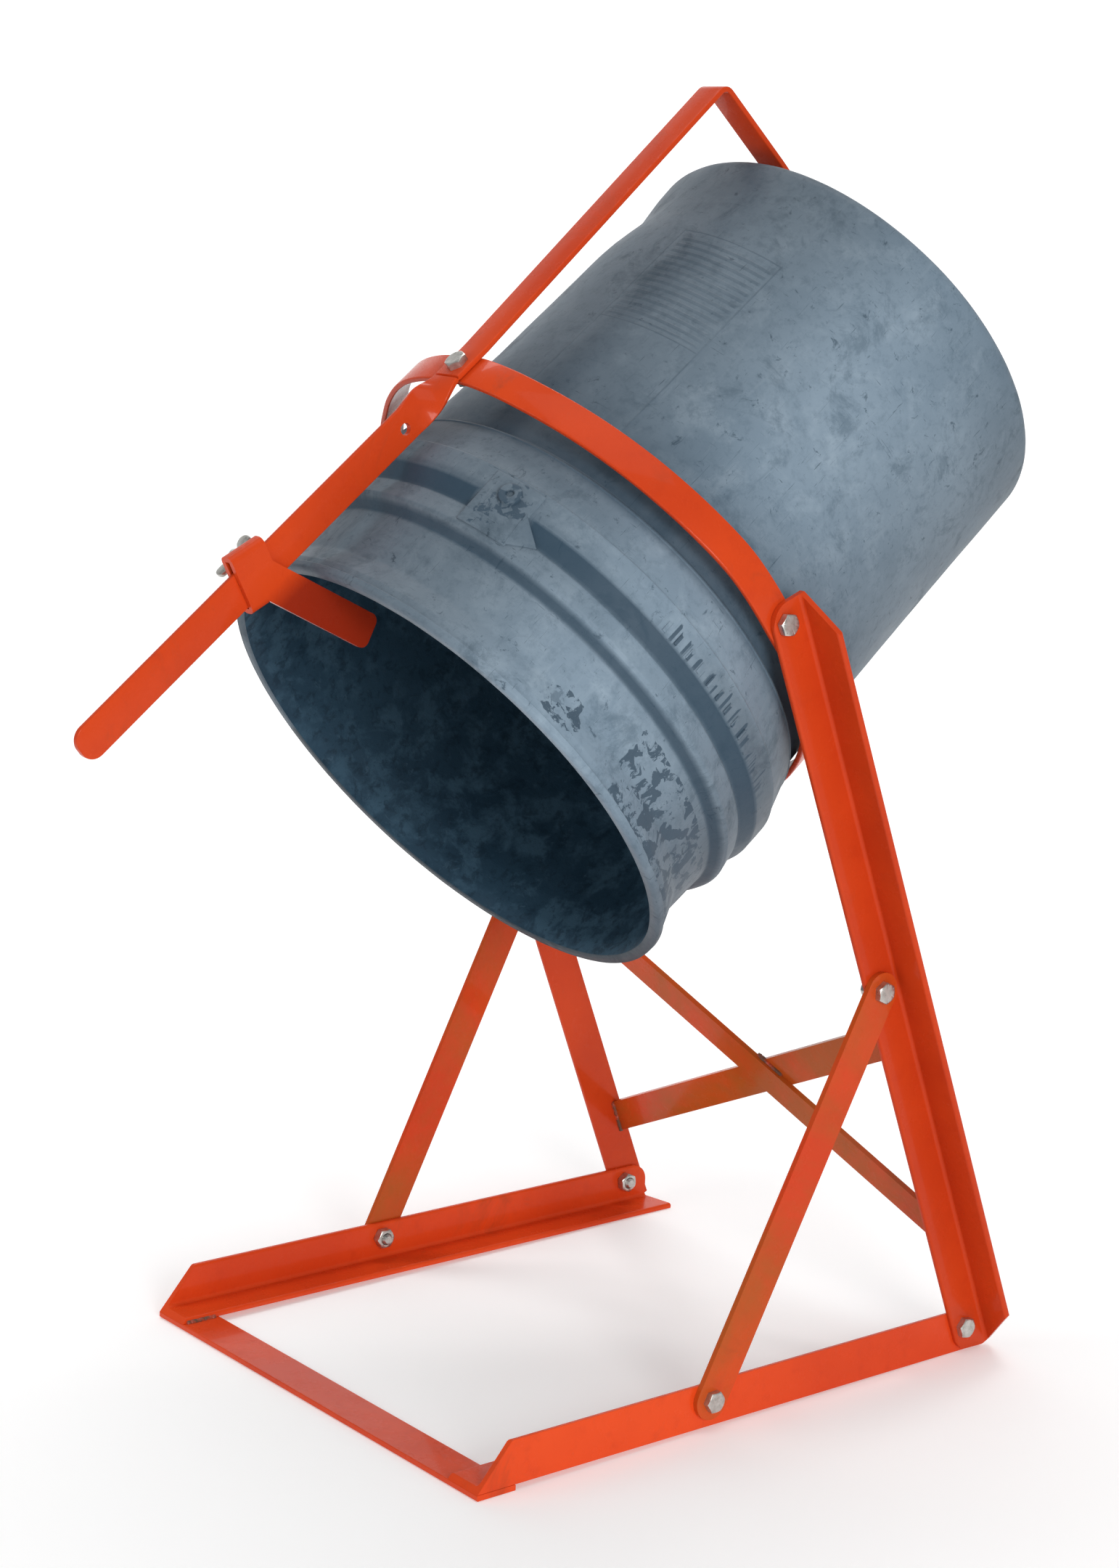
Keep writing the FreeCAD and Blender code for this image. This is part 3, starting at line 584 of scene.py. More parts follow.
# painted light: the dusty and rail paints are lighter copies of the orange; the dusty one also carries real
# dust
DUSTY_LIT = orange_paint("orange_powder_coat_dusty_lit", 0.75, painted_light_gain=1.12)
RAIL_LIT = orange_paint("orange_powder_coat_rail_lit", painted_light_gain=1.22)
# painted shadow on the clamp's tongue
TONGUE = orange_paint("orange_powder_coat_tongue", shadow_plane=(cradle(*TONGUE_SHADOW_START), OUT))
WELD = weld_paint()
ZINC = zinc_plate()
PAIL = pail_plastic()
# the lining's dark finish is painted shade
PAIL_INSIDE_SHADED = shaded_inside_plastic()
PAINT_OF = {"orange_paint": ORANGE, "zinc": ZINC, "pail_plastic": PAIL}
# Bars with one of these words in their node name differ from the common orange: braces dusty and painted
# lighter, rails and crossbars painted lighter, the clamp body with a painted shadow.
ORANGE_OF = {"brace": DUSTY_LIT, "rail": RAIL_LIT, "crossbar": RAIL_LIT, "clamp_body": TONGUE}


def dress(piece, material, body, slot, *nodes):
    """Gives a piece its finish, its body and the CAD nodes it stands for."""
    piece.data.materials.clear()
    piece.data.materials.append(material)
    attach(piece, body)
    if nodes:
        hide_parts(*nodes)


# ------ CAD pieces, shown with rolled edges

for entry in frame["record"]["subparts"]:
    node = frame["nodes"][entry["node"]]
    paint = PAINT_OF[entry["material_slot"]]
    if paint is ORANGE:
        soften(node, 0.8, 50)
        for word, special in ORANGE_OF.items():
            if word in entry["node"]:
                paint = special
    for place in node.material_slots:
        place.material = paint

# ------ hoop and strap

def hoop_ring():
    """Angle and outer radius of the ring's fixed points, all the way round."""
    down = [(180 + angle, radius) for angle, radius in HOOP_LOWER]
    back = [(360 - angle, radius) for angle, radius in reversed(HOOP_LOWER)]
    sides = [(0, HOOP["across"])] + HOOP_UPPER + [(180, HOOP["across"])]
    return sides + down + [(270, HOOP["bottom"])] + back


def hoop_radius(degrees, ring):
    """Outer radius at an angle, eased smoothly through the fixed points."""
    count = len(ring)
    i = max(k for k in range(count) if ring[k][0] <= degrees)
    spots = []
    for k in range(i - 1, i + 3):
        turns, place = divmod(k, count)
        spots.append((ring[place][0] + 360 * turns, ring[place][1]))
    (a0, r0), (a1, r1), (a2, r2), (a3, r3) = spots
    t = (degrees - a1) / (a2 - a1)
    slope_in = (r2 - r0) / (a2 - a0) * (a2 - a1)
    slope_out = (r3 - r1) / (a3 - a1) * (a2 - a1)
    blend = (2 * t ** 3 - 3 * t ** 2 + 1, t ** 3 - 2 * t ** 2 + t, 3 * t ** 2 - 2 * t ** 3, t ** 3 - t ** 2)
    return blend[0] * r1 + blend[1] * slope_in + blend[2] * r2 + blend[3] * slope_out


def hoop():
    """The rolled band, flat at the pivots and under the strap."""
    ring = hoop_ring()
    count = 288
    spots = []
    for k in range(count):
        degrees = 360 * k / count
        turn = math.radians(degrees)
        reach = hoop_radius(degrees, ring) - HOOP["wall"] / 2
        spots.append(cradle(0, reach * math.sin(turn), reach * math.cos(turn)))
    stations = []
    for k, spot in enumerate(spots):
        run = spots[(k + 1) % count] - spots[k - 1]
        stations.append((spot, AWAY, run.cross(AWAY).normalized(), 1, 1))
    return sweep("hoop_band", stations, bar_profile(HOOP["width"], HOOP["wall"], 0.9), closed=True)


def strap_spine():
    """Centre line of the strap from its lower end round the pail's bottom to the twist, as (along, out)."""
    mid = HOOP["top"] + STRAP["wall"] / 2
    low = -HOOP["bottom"] - STRAP["wall"] / 2
    corner, cross, bow = STRAP_CORNER, STRAP_CROSS, STRAP_BOW
    corners = [
        (STRAP["end"], low, 0), (STRAP["lift"], low, 60), (corner[0], -corner[1], STRAP["bend"]),
        (cross[0], -cross[1], 250), (*bow, 380), (*cross, 250), (*corner, STRAP["bend"]),
        (STRAP["lift"], mid, 60), (TWIST[0], mid, 0),
    ]
    return rounded_path(corners)


def strap():
    """One bar: return leg, bottom cross-piece, run over the hoop, quarter twist and handle."""
    path = resample(strap_spine(), 12.0)
    stations = []
    for i, spot in enumerate(path):
        ahead = path[min(i + 1, len(path) - 1)] - path[max(i - 1, 0)]
        run = (AWAY * ahead.x + OUT * ahead.y).normalized()
        stations.append([cradle(spot.x, spot.y), X, run.cross(X) * -1, 1, 1])
    mid = HOOP["top"] + STRAP["wall"] / 2
    for k in range(1, 25):
        share = k / 24
        eased = share * share * (3 - 2 * share)
        turn = math.radians(90 * eased)
        wide = X * math.cos(turn) - OUT * math.sin(turn)
        thick = X * math.sin(turn) + OUT * math.cos(turn)
        centre = cradle(TWIST[0] + (TWIST[1] - TWIST[0]) * share, mid + (HANDLE["out"] - mid) * share)
        stations.append([centre, wide, thick, 1, 1])
    straight_end = HANDLE["end"] - HANDLE["round"]
    stops = [TWIST[1] + 8 * k for k in range(1, 32)] + [straight_end]
    for along in stops:
        if along <= straight_end:
            stations.append([cradle(along, HANDLE["out"]), OUT * -1, X, 1, 1])
    half = STRAP["width"] / 2
    for k in range(1, 15):
        turn = math.radians(90 * k / 14)
        along = HANDLE["end"] - HANDLE["round"] * (1 - math.sin(turn))
        wide_scale = (half - HANDLE["round"] * (1 - math.cos(turn))) / half
        stations.append([cradle(along, HANDLE["out"]), OUT * -1, X, wide_scale, 1 if k < 14 else 0.75])
    flat = bar_profile(STRAP["width"], STRAP["wall"], 0.8)
    piece = sweep("strap_bar", stations, flat)
    hole = cradle(*HANDLE["hole"])
    return cut_with(piece, rod("hole_cut", hole - X * 0.01, hole + X * 0.01, HANDLE["hole_r"]))


dress(sharpen(hoop(), 50), ORANGE, "cradle", "orange_paint", "hoop")
dress(sharpen(strap(), 50), ORANGE, "cradle", "orange_paint", "handle_strap")

# ------ pail

# Corners of the pail's section as (along, radius, rounding) in mm: outside up to the rim, then inside.
PAIL_OUTSIDE = [
    (-227.6, 0, 0), (-227.6, 112.0, 0), (-226.4, 114.0, 0), (-226.4, 120.0, 0), (-227.6, 121.5, 0),
    (-227.6, 135.0, 9.0), (-60, 137.6, 0), (14.0, 141.0, 2), (16.6, 145.6, 0.7), (17.6, 146.2, 0.4),
    (18.2, 145.8, 0.3), (41.4, 152.3, 0.4), (42.5, 153.3, 0.5), (57.6, 153.2, 1.0), (69.0, 149.0, 0.8),
    (70.0, 149.6, 0.4), (81.2, 151.5, 1.4), (83.2, 150.4, 0.8), (88.0, 144.6, 2), (118.0, 143.5, 8),
    (131.0, 148.3, 3), (135.6, 148.6, 0.4), (136.0, 150.9, 0.7), (140.3, 150.5, 1.3),
]
PAIL_INNER = [
    (140.3, 144.2, 1.0), (128.0, 142.9, 4), (115.0, 141.1, 8), (15.0, 138.6, 0), (-224.4, 132.6, 8.6),
    (-224.4, 0, 0),
]


def pail_waver(along, radius, degrees):
    """Unevenness of the wall, and a dent near the closed end, in millimetres."""
    turn = math.radians(degrees)
    spot = Vector((math.cos(turn) * 2.2, math.sin(turn) * 2.2, along / 75))
    broad = noise.noise(spot) * 0.45
    fine = noise.noise(spot * 4.3) * 0.12
    fade = min(1.0, radius / 100)
    dent = 4.0 * math.exp(-((along + 186) / 20) ** 2) * math.exp(-((degrees % 360 - 120) / 24) ** 2)
    return (broad + fine) * fade - 0.25 * fade - dent * fade


def smooth(low, high, value):
    """0 before low, 1 after high, eased between; low may be above high."""
    share = min(1.0, max(0.0, (value - low) / (high - low)))
    return share * share * (3 - 2 * share)


def between(value, start, full, fade, end):
    """1 from full to fade, eased to 0 at start and end."""
    return smooth(start, full, value) * smooth(end, fade, value)


def ear_cover(degrees):
    """1 where an ear block fills the channel."""
    return max(smooth(7.2, 6.0, abs((degrees - angle + 180) % 360 - 180)) for angle in EAR_ANGLES)


def pail_painted_lighting(along, degrees):
    """Painted light and shade on the plastic: a painted highlight band, palest on one side, and painted
    shade above and below.
    """
    width = 40 if degrees < 24 else 26
    tone = 0.60 + 0.53 * math.exp(-((degrees - 24) / width) ** 2)
    tone *= 1 - 0.24 * between(along, 40, 46, 56, 62) * smooth(22, 0, degrees)
    tone *= 1 - 0.10 * smooth(-150, -215, along)
    tone *= 1 - 0.16 * smooth(84, 102, degrees) * smooth(-60, 20, along)
    tone *= 1 - 0.45 * smooth(134, 138, along) * smooth(-30, -60, degrees)
    tone *= 1 + 0.06 * smooth(88, 100, along) * smooth(56, 40, degrees)
    return tone * (1 - 0.22 * smooth(-2, -34, degrees) * smooth(70, 96, along))


def pail_wear(along, degrees):
    """Where the residue flakes: by the rim in front, a small patch above it, and the ear."""
    by_rim = between(degrees, -54, -44, 0, 12) * between(along, 91, 97, 134, 139)
    small = 0.75 * between(degrees, 17, 20, 27, 31) * between(along, 108, 116, 130, 134)
    on_ear = 0.62 * smooth(9, 5, abs(degrees - EAR_ANGLES[0])) * between(along, 40, 46, 78, 84)
    return min(1.0, max(by_rim, small, on_ear))


def pail_shadow(along, radius, degrees):
    """Painted shade in the channel, at the ring roots, under the hoop, along the bottom edge and on the
    collar's upper edge.
    """
    channel = between(along, 56.8, 59.0, 68.0, 70.5) * (1 - ear_cover(degrees) * smooth(74, 70, along))
    root = 0.86 * between(along, 83.6, 84.9, 88.0, 90.2)
    under = 0.80 * between(along, 9.0, 11.0, 14.5, 25.0)
    chime = 0.35 * between(along, -228.5, -227.4, -226.0, -223.0) * smooth(126, 130, radius)
    edge = 0.5 * between(along, 52.0, 56.5, 57.5, 60.0) * between(degrees, 10, 95, 110, 200)
    return max(channel, root, under, chime, edge)


def mark_pail(piece):
    """Stores in each point where it lies on the pail, how worn and ticked it is, and its painted shade and
    painted light.
    """
    mesh = piece.data
    names = ("pail_worn", "pail_painted_shade", "pail_painted_lighting", "pail_ticks")
    mesh.attributes.new("pail_place", "FLOAT_VECTOR", "POINT")
    for name in names:
        mesh.attributes.new(name, "FLOAT", "POINT")
    places = mesh.attributes["pail_place"].data
    stores = [mesh.attributes[name].data for name in names]
    for i, vertex in enumerate(mesh.vertices):
        offset = (vertex.co - PIVOT) / MM
        along = offset.dot(AWAY)
        up, across = offset.dot(OUT) - PAIL_OFFSET, offset.x
        radius = math.hypot(up, across)
        degrees = math.degrees(math.atan2(up, across))
        places[i].vector = (along * MM, math.radians(degrees) * ARC_RADIUS, radius * MM)
        ticked = between(degrees, -30, -24, 20, 24) * between(along, 44, 47, 57, 58.5)
        worn, dark = pail_wear(along, degrees), pail_shadow(along, radius, degrees)
        for store, mark in zip(stores, (worn, dark, pail_painted_lighting(along, degrees), ticked)):
            store[i].value = mark


def pail():
    """Outer skin and lining as one closed wall; the lining has its own darker finish, which is painted
    shade.
    """
    outline = rounded_path(PAIL_OUTSIDE, 1.2)
    first = next(i for i, p in enumerate(outline) if p.x > 5)
    outer = resample(outline[:first], 8.0) + resample(outline[first:], 1.3)
    inner = resample(rounded_path(PAIL_INNER, 1.5), 9.0)
    profile = [(p.x, p.y) for p in outer + inner]
    piece = lathe("pail_wall", profile, round_pail, 288, pail_waver)
    piece.data.materials.append(PAIL)
    piece.data.materials.append(PAIL_INSIDE_SHADED)
    for polygon in piece.data.polygons:
        offset = (polygon.center - PIVOT) / MM
        along = offset.dot(AWAY)
        up = offset.dot(OUT) - PAIL_OFFSET
        outward = OUT * up + X * offset.x
        facing_in = polygon.normal.dot(outward) < -1e-4 * outward.length
        floor_inside = polygon.normal.dot(AWAY) > 0.5 and along < -200
        polygon.material_index = 1 if (facing_in and along < 138.5) or floor_inside else 0
    return piece


def soft_block(name, along, radii, degrees, bevel=0.8, parts=8):
    """Curved raised block on the pail; radii are its root, its top at the start and its top at the end."""
    points = []
    for k in range(parts + 1):
        turn = degrees[0] + (degrees[1] - degrees[0]) * k / parts
        points += [round_pail(along[0], radii[0], turn), round_pail(along[0], radii[1], turn),
                   round_pail(along[1], radii[2], turn), round_pail(along[1], radii[0], turn)]
    faces = skin(parts + 1, 4) + [(0, 1, 2, 3), tuple(4 * parts + i for i in range(4))]
    piece = make_mesh(name, points, faces)
    soften(piece, bevel, 40)
    return sharpen(bake_modifiers(piece), 60)


def gusset(name, degrees):
    """Triangular web beside the ear, from the collar's edge down to the ring."""
    corners = [(57.5, 153.9, -5.2), (69.5, 150.6, -11.4), (78.5, 152.2, -5.8)]
    points = [round_pail(a, r, degrees + t) for a, r, t in corners]
    points += [round_pail(a, 147.0, degrees + t) for a, _, t in corners]
    faces = [(0, 1, 2), (5, 4, 3), (0, 3, 4, 1), (1, 4, 5, 2), (2, 5, 3, 0)]
    piece = make_mesh(name, points, faces)
    soften(piece, 0.5, 30)
    return sharpen(bake_modifiers(piece), 60)


def boss(name, degrees, along, radius, hole_r, top, root):
    """Round raised boss with a dished blind hole."""
    centre = round_pail(along, 0, degrees)
    outward = (round_pail(along, 10, degrees) - centre).normalized()
    other = outward.cross(AWAY)
    rings = [(radius + 0.5, root), (radius, root + 1.0), (radius, top - 0.8), (radius - 0.3, top - 0.25),
             (radius - 0.9, top), (hole_r + 0.7, top), (hole_r + 0.15, top - 0.3), (hole_r, top - 0.9),
             (hole_r * 0.96, top - 3.2), (0.0, top - 3.4)]
    points = []
    sides = 48
    for ring, height in rings:
        for k in range(sides):
            turn = 2 * math.pi * k / sides
            points.append(on_circle(centre + outward * height * MM, AWAY, other, turn, ring))
    return make_mesh(name, points, skin(len(rings), sides))


wall = pail()
mark_pail(wall)
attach(wall, "cradle")
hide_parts("pail")

trim = []
for number, angle in enumerate(EAR_ANGLES):
    width = (angle - 6.2, angle + 6.0)
    trim.append(soft_block(f"ear_block_{number}", (44.0, 79.5), (147.0, 154.0, 151.9), width))
    trim.append(gusset(f"ear_gusset_{number}", angle))
    trim.append(boss(f"ear_boss_{number}", angle, 53.7, 6.5, 2.2, 155.6, 150.0))
for k in range(9):
    angle = 21.0 - 3.6 * k
    width = (angle - 0.42, angle + 0.42)
    trim.append(soft_block(f"collar_tick_{k}", (50.5, 57.0), (151.5, 153.75, 153.75), width, 0.18, 2))
for piece in trim:
    mark_pail(piece)
    dress(piece, PAIL, "cradle", "pail_plastic")

# ------ fasteners

def hexagon_edge(turn):
    """Distance from a bolt head's middle to its edge at an angle."""
    return HEAD_FLATS / 2 / math.cos((turn + math.pi / 6) % (math.pi / 3) - math.pi / 6)


def hex_body(name, seat, direction, height, turn, bore=0.0, dish=0.0):
    """Hex prism with its corners turned off: a nut if it has a bore, else a bolt head."""
    side = Vector((0, 1, 0)) if abs(direction.y) < 0.5 else X.copy()
    side = (side - direction * side.dot(direction)).normalized()
    other = direction.cross(side)
    corner = HEAD_FLATS / math.sqrt(3)
    sides = 96
    rings = []

    def place(angle, radius, level):
        shift = angle + math.radians(turn)
        return on_circle(seat, side, other, shift, radius) + direction * level * MM

    def circle(radius, level):
        rings.append([place(2 * math.pi * k / sides, radius, level) for k in range(sides)])

    def ring(share, top):
        """A hexagon whose corners dip where the turned cone cuts them."""
        spots = []
        for k in range(sides):
            angle = 2 * math.pi * k / sides
            radius = min(hexagon_edge(angle), corner) * share
            cone = max(0.0, radius - (HEAD_FLATS / 2 - 0.35)) * 0.62
            spots.append(place(angle, radius, height - cone if top else (cone if bore else 0.0)))
        rings.append(spots)

    if bore:
        circle(bore, 0.9)
        circle(bore + 0.7, 0.0)
    else:
        circle(0.0, 0.0)
    for share in (0.84, 0.94, 0.995, 1.0):
        ring(share, False)
    for share in (1.0, 0.995, 0.94, 0.86):
        ring(share, True)
    if bore:
        circle(bore + 0.7, height)
        circle(bore, height - 0.7)
        circle(bore, 0.9)
    else:
        circle(HEAD_FLATS * 0.30, height - dish)
        circle(0.0, height - dish)
    points = [spot for spots in rings for spot in spots]
    return sharpen(merge_points(make_mesh(name, points, skin(len(rings), sides)), 1e-6), 30)


def thread(name, start, direction, length, plain=0.0):
    """Screw thread with a turned-off point; plain is the smooth stretch before the thread."""
    side = direction.orthogonal().normalized()
    other = direction.cross(side)
    sides, per_turn = 40, 12
    rows = max(6, int(length / THREAD_PITCH * per_turn))
    points = []
    for i in range(rows + 1):
        level = length * i / rows
        for k in range(sides):
            phase = (level / THREAD_PITCH - k / sides) % 1.0
            groove = 0.55 * (1 - abs(2 * phase - 1)) if level > plain else 0.0
            room = BOLT_R - max(0.0, level - (length - 0.9)) * 0.9
            turn = 2 * math.pi * k / sides
            reach = min(BOLT_R - groove, room)
            points.append(on_circle(start + direction * level * MM, side, other, turn, reach))
    faces = skin(rows + 1, sides)
    faces.append(tuple(range(sides)))
    faces.append(tuple(range(rows * sides, (rows + 1) * sides)))
    return make_mesh(name, points, faces)


def join(name, pieces):
    """Puts several pieces into one mesh."""
    points, faces = [], []
    for piece in pieces:
        shift = len(points)
        points += [vertex.co.copy() for vertex in piece.data.vertices]
        for polygon in piece.data.polygons:
            faces.append(tuple(shift + v for v in polygon.vertices))
        bpy.data.objects.remove(piece)
    return sharpen(make_mesh(name, points, faces), 32)


def bolt(node, seat, direction, length, turn, body):
    """Head on its seat, pointing along direction, with the shank the other way."""
    head = hex_body(node + "_head", seat, direction, HEAD_HEIGHT, turn, dish=0.12)
    shank = thread(node + "_shank", seat, direction * -1, length, plain=max(0.0, length - 11))
    dress(join(node + "_turned", [head, shank]), ZINC, body, "zinc", node)


def nut(node, seat, direction, turn, body, height=NUT_HEIGHT):
    piece = hex_body(node + "_turned", seat, direction, height, turn, bore=BOLT_R)
    dress(piece, ZINC, body, "zinc", node)


rng = random.Random(7)
for joint, body in (("heel", "stand"), ("brace_foot", "stand"), ("brace_top", "stand"), ("pivot", "cradle")):
    for side, sign in (("right", 1), ("left", -1)):
        low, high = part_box(f"{side}_{joint}_bolt")
        middle = (low + high) / 2
        edge = high.x if sign > 0 else low.x
        seat = Vector((edge - sign * HEAD_HEIGHT * MM, middle.y, middle.z))
        length = (high.x - low.x) / MM - HEAD_HEIGHT
        bolt(f"{side}_{joint}_bolt", seat, X * sign, length, rng.uniform(0, 60), body)
        low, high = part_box(f"{side}_{joint}_nut")
        seat = Vector((high.x if sign > 0 else low.x, middle.y, middle.z))
        nut(f"{side}_{joint}_nut", seat, X * -sign, rng.uniform(0, 60), body)

rim = HOOP["top"] + STRAP["wall"]
inside = HOOP["top"] - HOOP["wall"]
bolt("hoop_bolt", cradle(0, rim), OUT, rim - inside + NUT_HEIGHT + 1.8, 10, "cradle")
nut("hoop_nut", cradle(0, inside), OUT * -1, 0, "cradle")

# ------ wing screw and weld nut

def wing_screw():
    """Cast wing screw: threaded shank, tapered hub and two cupped ears."""
    tip = -(STRAP["wall"] / 2 + 0.3)
    nut_face = -(STRAP["wall"] / 2 + CLAMP["gap"] + CLAMP["wall"] + CLAMP["nut"])
    hub = nut_face - 2.2
    spot = cradle(*CLAMP["screw"])
    turn = math.radians(CLAMP["screw_turn"])
    spread = AWAY * math.cos(turn) - OUT * math.sin(turn)
    face = spread.cross(X).normalized()
    shank = thread("wing_shank", spot + X * hub * MM, X, tip - hub)
    rings = [(0.0, 0.2), (4.2, 0.2), (4.6, 0.0), (4.75, -0.5),
             (4.5, -3.0), (4.1, -5.4), (3.6, -5.95), (0.0, -6.0)]
    points, sides = [], 40
    for radius, level in rings:
        for k in range(sides):
            angle = 2 * math.pi * k / sides
            points.append(on_circle(spot + X * (hub + level) * MM, spread, face, angle, radius))
    made = [shank, make_mesh("wing_hub", points, skin(len(rings), sides))]
    outline = rounded_path([
        (0.0, -3.0, 0), (0.0, -0.8, 0), (7.5, -0.8, 3), (13.5, -3.8, 3.0), (12.9, -11.0, 3.0),
        (6.8, -9.1, 3.0), (3.6, -5.4, 1.0), (0.0, -5.4, 0), (0.0, -3.0, 0),
    ], 0.6)
    middle = sum(outline, Vector((0, 0))) / len(outline)
    size = len(outline) - 1
    layers = ((1.30, 0.86), (1.15, 0.95), (0.6, 1.0), (-0.6, 1.0), (-1.15, 0.95), (-1.30, 0.86))
    for sign in (-1, 1):
        ear = []
        for height, share in layers:
            for p in outline[:-1]:
                q = middle.lerp(p, share)
                cup = 0.5 * (q.x / 13) ** 2 * sign
                base = spot + spread * sign * q.x * MM + X * (hub + q.y) * MM
                ear.append(base + face * (height + cup) * MM)
        last = (len(layers) - 1) * size
        sheets = [tuple(range(size)), tuple(range(last, last + size))] + skin(len(layers), size)
        made.append(make_mesh(f"wing_ear_{sign}", ear, sheets))
    return join("wing_screw_cast", made)


dress(wing_screw(), ZINC, "wing", "zinc", "wing_screw")
seat = cradle(*CLAMP["screw"], -(STRAP["wall"] / 2 + CLAMP["gap"] + CLAMP["wall"]))
nut("clamp_weld_nut", seat, X * -1, 12, "clamp", CLAMP["nut"])

# ------ welds

def weld(name, start, finish, radius, seed):
    """Rippled weld bead along a line, with round ends."""
    along = finish - start
    run = along.normalized()
    side = run.orthogonal().normalized()
    other = run.cross(side)
    length = along.length / MM
    rows, sides = int(length * 2.4) + 10, 20
    points = []
    for i in range(rows + 1):
        level = -radius + (length + 2 * radius) * i / rows
        past = max(0.0, -level, level - length) / radius
        thick = radius * math.sqrt(max(0.0, 1 - past * past))
        ripple = 1 + 0.10 * math.sin(level * 3.4) + 0.09 * math.sin(level * 1.3 + seed)
        for k in range(sides):
            turn = 2 * math.pi * k / sides
            spot = Vector((level * 0.9, math.cos(turn) * 1.5, math.sin(turn) * 1.5 + seed))
            reach = min(thick * ripple * (1 + 0.12 * noise.noise(spot)), radius)
            points.append(on_circle(start + run * level * MM, side, other, turn, reach))
    return make_mesh(name, points, skin(rows + 1, sides))


def weld_group(node, runs, body):
    """All the beads of one CAD node as one piece; a run is (start, finish, radius)."""
    beads = [weld(f"{node}_bead_{k}", *run, k + 3) for k, run in enumerate(runs)]
    dress(join(node + "_laid", beads), WELD, body, "orange_paint", node)


def rail_point(x, y, z):
    """A point of the foot rails in the stand's own frame, before it leans."""
    flat = Vector((0, y - 175.4, z - 16.4))
    turned = Vector((x, flat.y * math.cos(LEAN) + flat.z * math.sin(LEAN),
                     -flat.y * math.sin(LEAN) + flat.z * math.cos(LEAN)))
    return HEEL + turned * MM


# The X brace: where its two bars start and end on the left and right posts, and where their faces lie (mm).
RISING = (44.0, 195.0)
FALLING = (227.0, 55.0)
REAR, FRONT = 11.4, 8.2
runs = []
for sign in (-1, 1):
    runs.append((rail_point(sign * 128.9, -178, 0.2), rail_point(sign * 128.9, -160.6, 0.2), 1.6))
    runs.append((rail_point(sign * 132.9, -156.6, -0.7), rail_point(sign * 150.3, -156.6, -0.7), 1.4))
weld_group("crossbar_welds", runs, "stand")
ends = [(RISING[0], -1, REAR), (RISING[1], 1, REAR), (FALLING[0], -1, FRONT), (FALLING[1], 1, FRONT)]
weld_group("x_brace_end_welds", [
    (post_point(along - 10, face, sign * HALF_WIDTH), post_point(along + 10, face, sign * HALF_WIDTH), 1.7)
    for along, sign, face in ends], "stand")
rise = (RISING[1] - RISING[0]) / (2 * HALF_WIDTH)
fall = (FALLING[1] - FALLING[0]) / (2 * HALF_WIDTH)
cross_x = (sum(FALLING) - sum(RISING)) / 2 / (rise - fall)
centre = post_point(sum(RISING) / 2 + rise * cross_x, REAR, cross_x)
run = (X + UP_POST * fall).normalized()
edge = run.cross(BEHIND) * 10 * MM
half = run * 9 * MM
weld_group("x_brace_crossing_weld", [
    (centre + edge * sign - half, centre + edge * sign + half, 1.6) for sign in (-1, 1)], "stand")
weld_group("strap_welds", [
    (cradle(-8.0, -HOOP["bottom"], STRAP["width"] / 2 * sign),
     cradle(8.0, -HOOP["bottom"], STRAP["width"] / 2 * sign), 1.4) for sign in (-1, 1)], "cradle")

# ------ floor, light and camera

def studio_floor():
    """Pale floor that curves up behind the object."""
    heading = math.radians(140.4)
    reach_back, bend, half_width, drop = 2.6, 1.2, 6.0, 0.0002
    points, faces = [], []
    profile = [(-5.0, 0.0), (reach_back, 0.0)]
    for k in range(1, 16):
        turn = math.radians(6 * k)
        profile.append((reach_back + bend * math.sin(turn), bend - bend * math.cos(turn)))
    profile.append((reach_back + bend, 4.5))
    for reach, level in profile:
        for side in (-half_width, half_width):
            points.append((reach * math.cos(heading) - side * math.sin(heading),
                           reach * math.sin(heading) + side * math.cos(heading), level - drop))
    for i in range(len(profile) - 1):
        faces.append((2 * i, 2 * i + 1, 2 * i + 3, 2 * i + 2))
    floor = make_mesh("studio_floor", points, faces)
    material = bpy.data.materials.new("studio_floor")
    material.use_nodes = True
    shader = material.node_tree.nodes["Principled BSDF"]
    shader.inputs["Base Color"].default_value = (0.88, 0.88, 0.88, 1)
    shader.inputs["Roughness"].default_value = 0.95
    shader.inputs["Specular IOR Level"].default_value = 0.1
    shader.inputs["Emission Color"].default_value = (1, 1, 1, 1)
    shader.inputs["Emission Strength"].default_value = 0.22
    floor.data.materials.append(material)


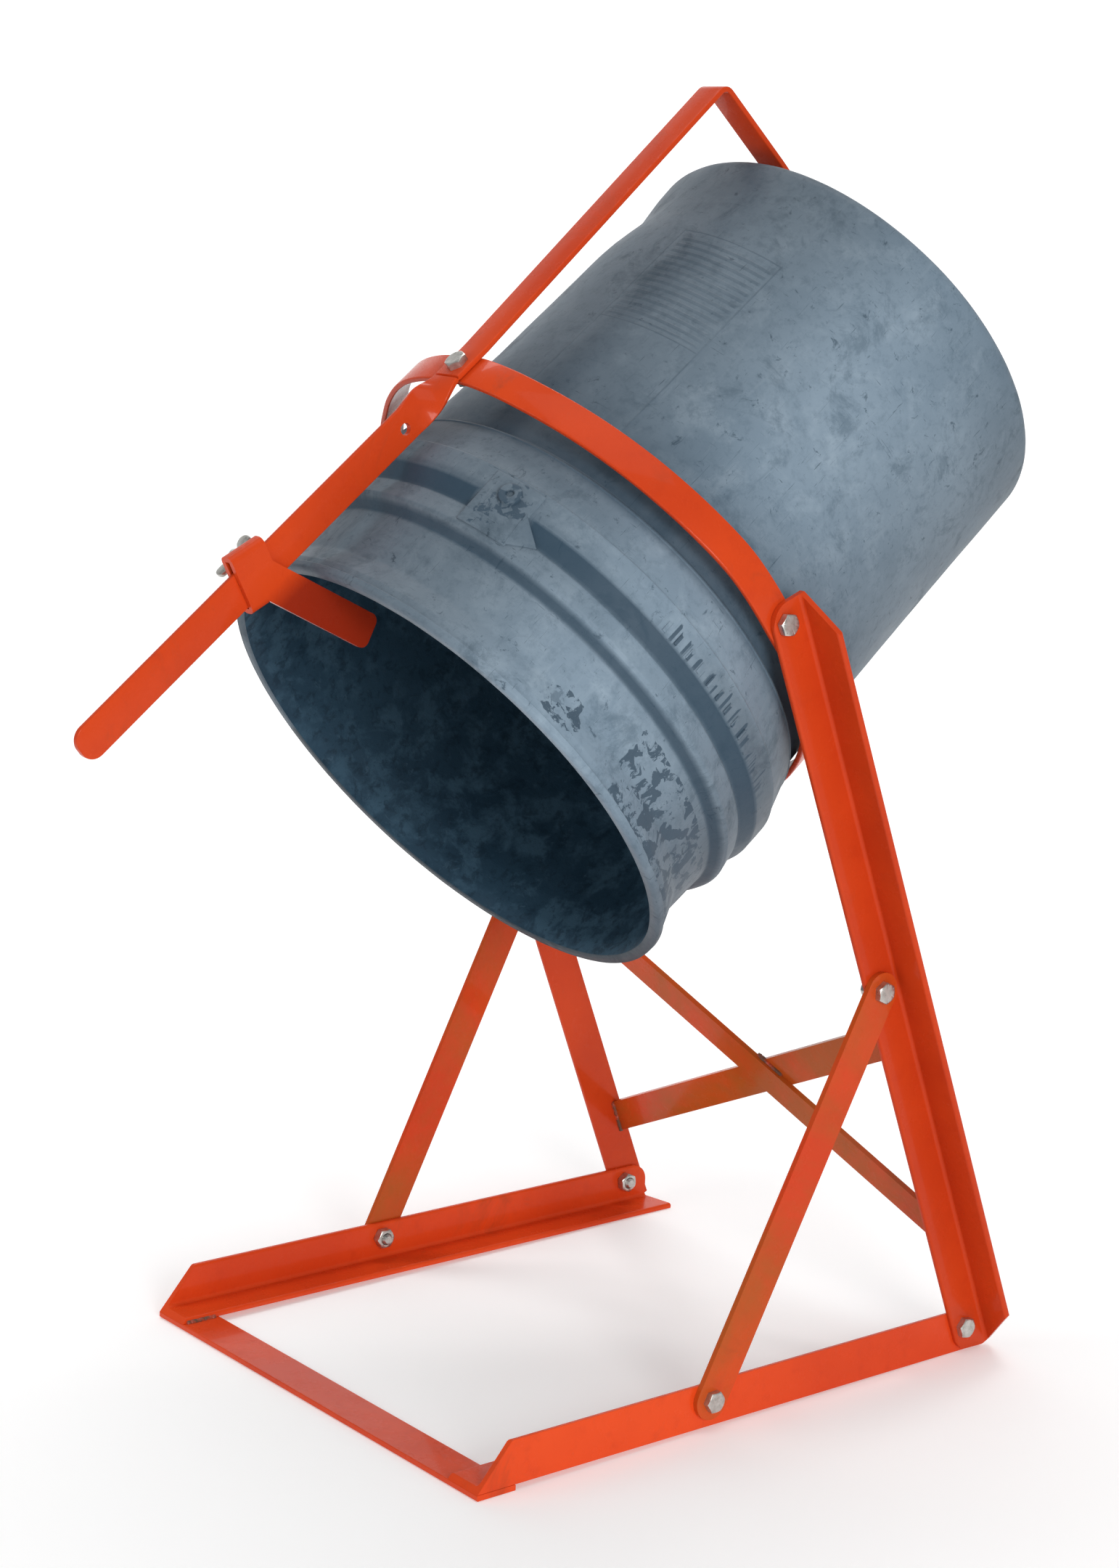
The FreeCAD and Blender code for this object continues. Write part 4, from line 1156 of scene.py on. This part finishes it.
def softbox(name, spot, aim, size, power):
    """A rectangular lamp of the given size (m) and power (W), facing aim."""
    data = bpy.data.lights.new(name, "AREA")
    data.shape = "RECTANGLE"
    data.size, data.size_y = size
    data.energy = power
    lamp = bpy.data.objects.new(name, data)
    bpy.context.scene.collection.objects.link(lamp)
    lamp.location = spot
    lamp.rotation_mode = "QUATERNION"
    lamp.rotation_quaternion = (Vector(aim) - Vector(spot)).to_track_quat("-Z", "Y")


def studio_world():
    """Even white surroundings."""
    world = bpy.data.worlds.new("studio")
    bpy.context.scene.world = world
    world.use_nodes = True
    shader = world.node_tree.nodes["Background"]
    shader.inputs["Color"].default_value = (1.0, 1.0, 1.0, 1)
    shader.inputs["Strength"].default_value = 0.35


def photo_camera():
    """The camera that the photo was taken with, fitted in the stand's own frame."""
    data = bpy.data.cameras.new("photo_camera")
    camera = bpy.data.objects.new("photo_camera", data)
    bpy.context.scene.collection.objects.link(camera)
    data.sensor_width = 36.0
    data.lens = 70.09
    data.clip_start = 0.05
    data.clip_end = 60.0
    yaw, pitch, roll = (math.radians(value) for value in (50.434, 11.385, 2.370))
    back = Vector((math.sin(yaw) * math.cos(pitch), -math.cos(yaw) * math.cos(pitch), math.sin(pitch)))
    right = Vector((math.cos(yaw), math.sin(yaw), 0))
    up = back.cross(right)
    turned_right = right * math.cos(roll) + up * math.sin(roll)
    turned_up = up * math.cos(roll) - right * math.sin(roll)
    pose = Matrix((turned_right, turned_up, back)).transposed()
    leaning = Matrix.Rotation(-LEAN, 3, "X")
    camera.matrix_world = (leaning @ pose).to_4x4()
    camera.location = PIVOT + leaning @ Vector((1.30566, -1.09803, 0.22890))
    bpy.context.scene.camera = camera


studio_floor()
studio_world()
photo_camera()
bpy.context.scene.view_settings.view_transform = "Standard"
softbox("key", (2.7, -0.9, 1.0), (0, 0, 0.4), (1.0, 1.2), 44)
softbox("fill", (-0.9, -2.7, 0.9), (0, 0, 0.35), (1.4, 1.2), 12)
softbox("top", (0.6, -0.3, 2.7), (0, 0, 0.3), (1.6, 1.6), 9)
softbox("backdrop", (-0.9, 0.75, 3.0), (-2.6, 2.15, 0.4), (2.2, 1.0), 60)
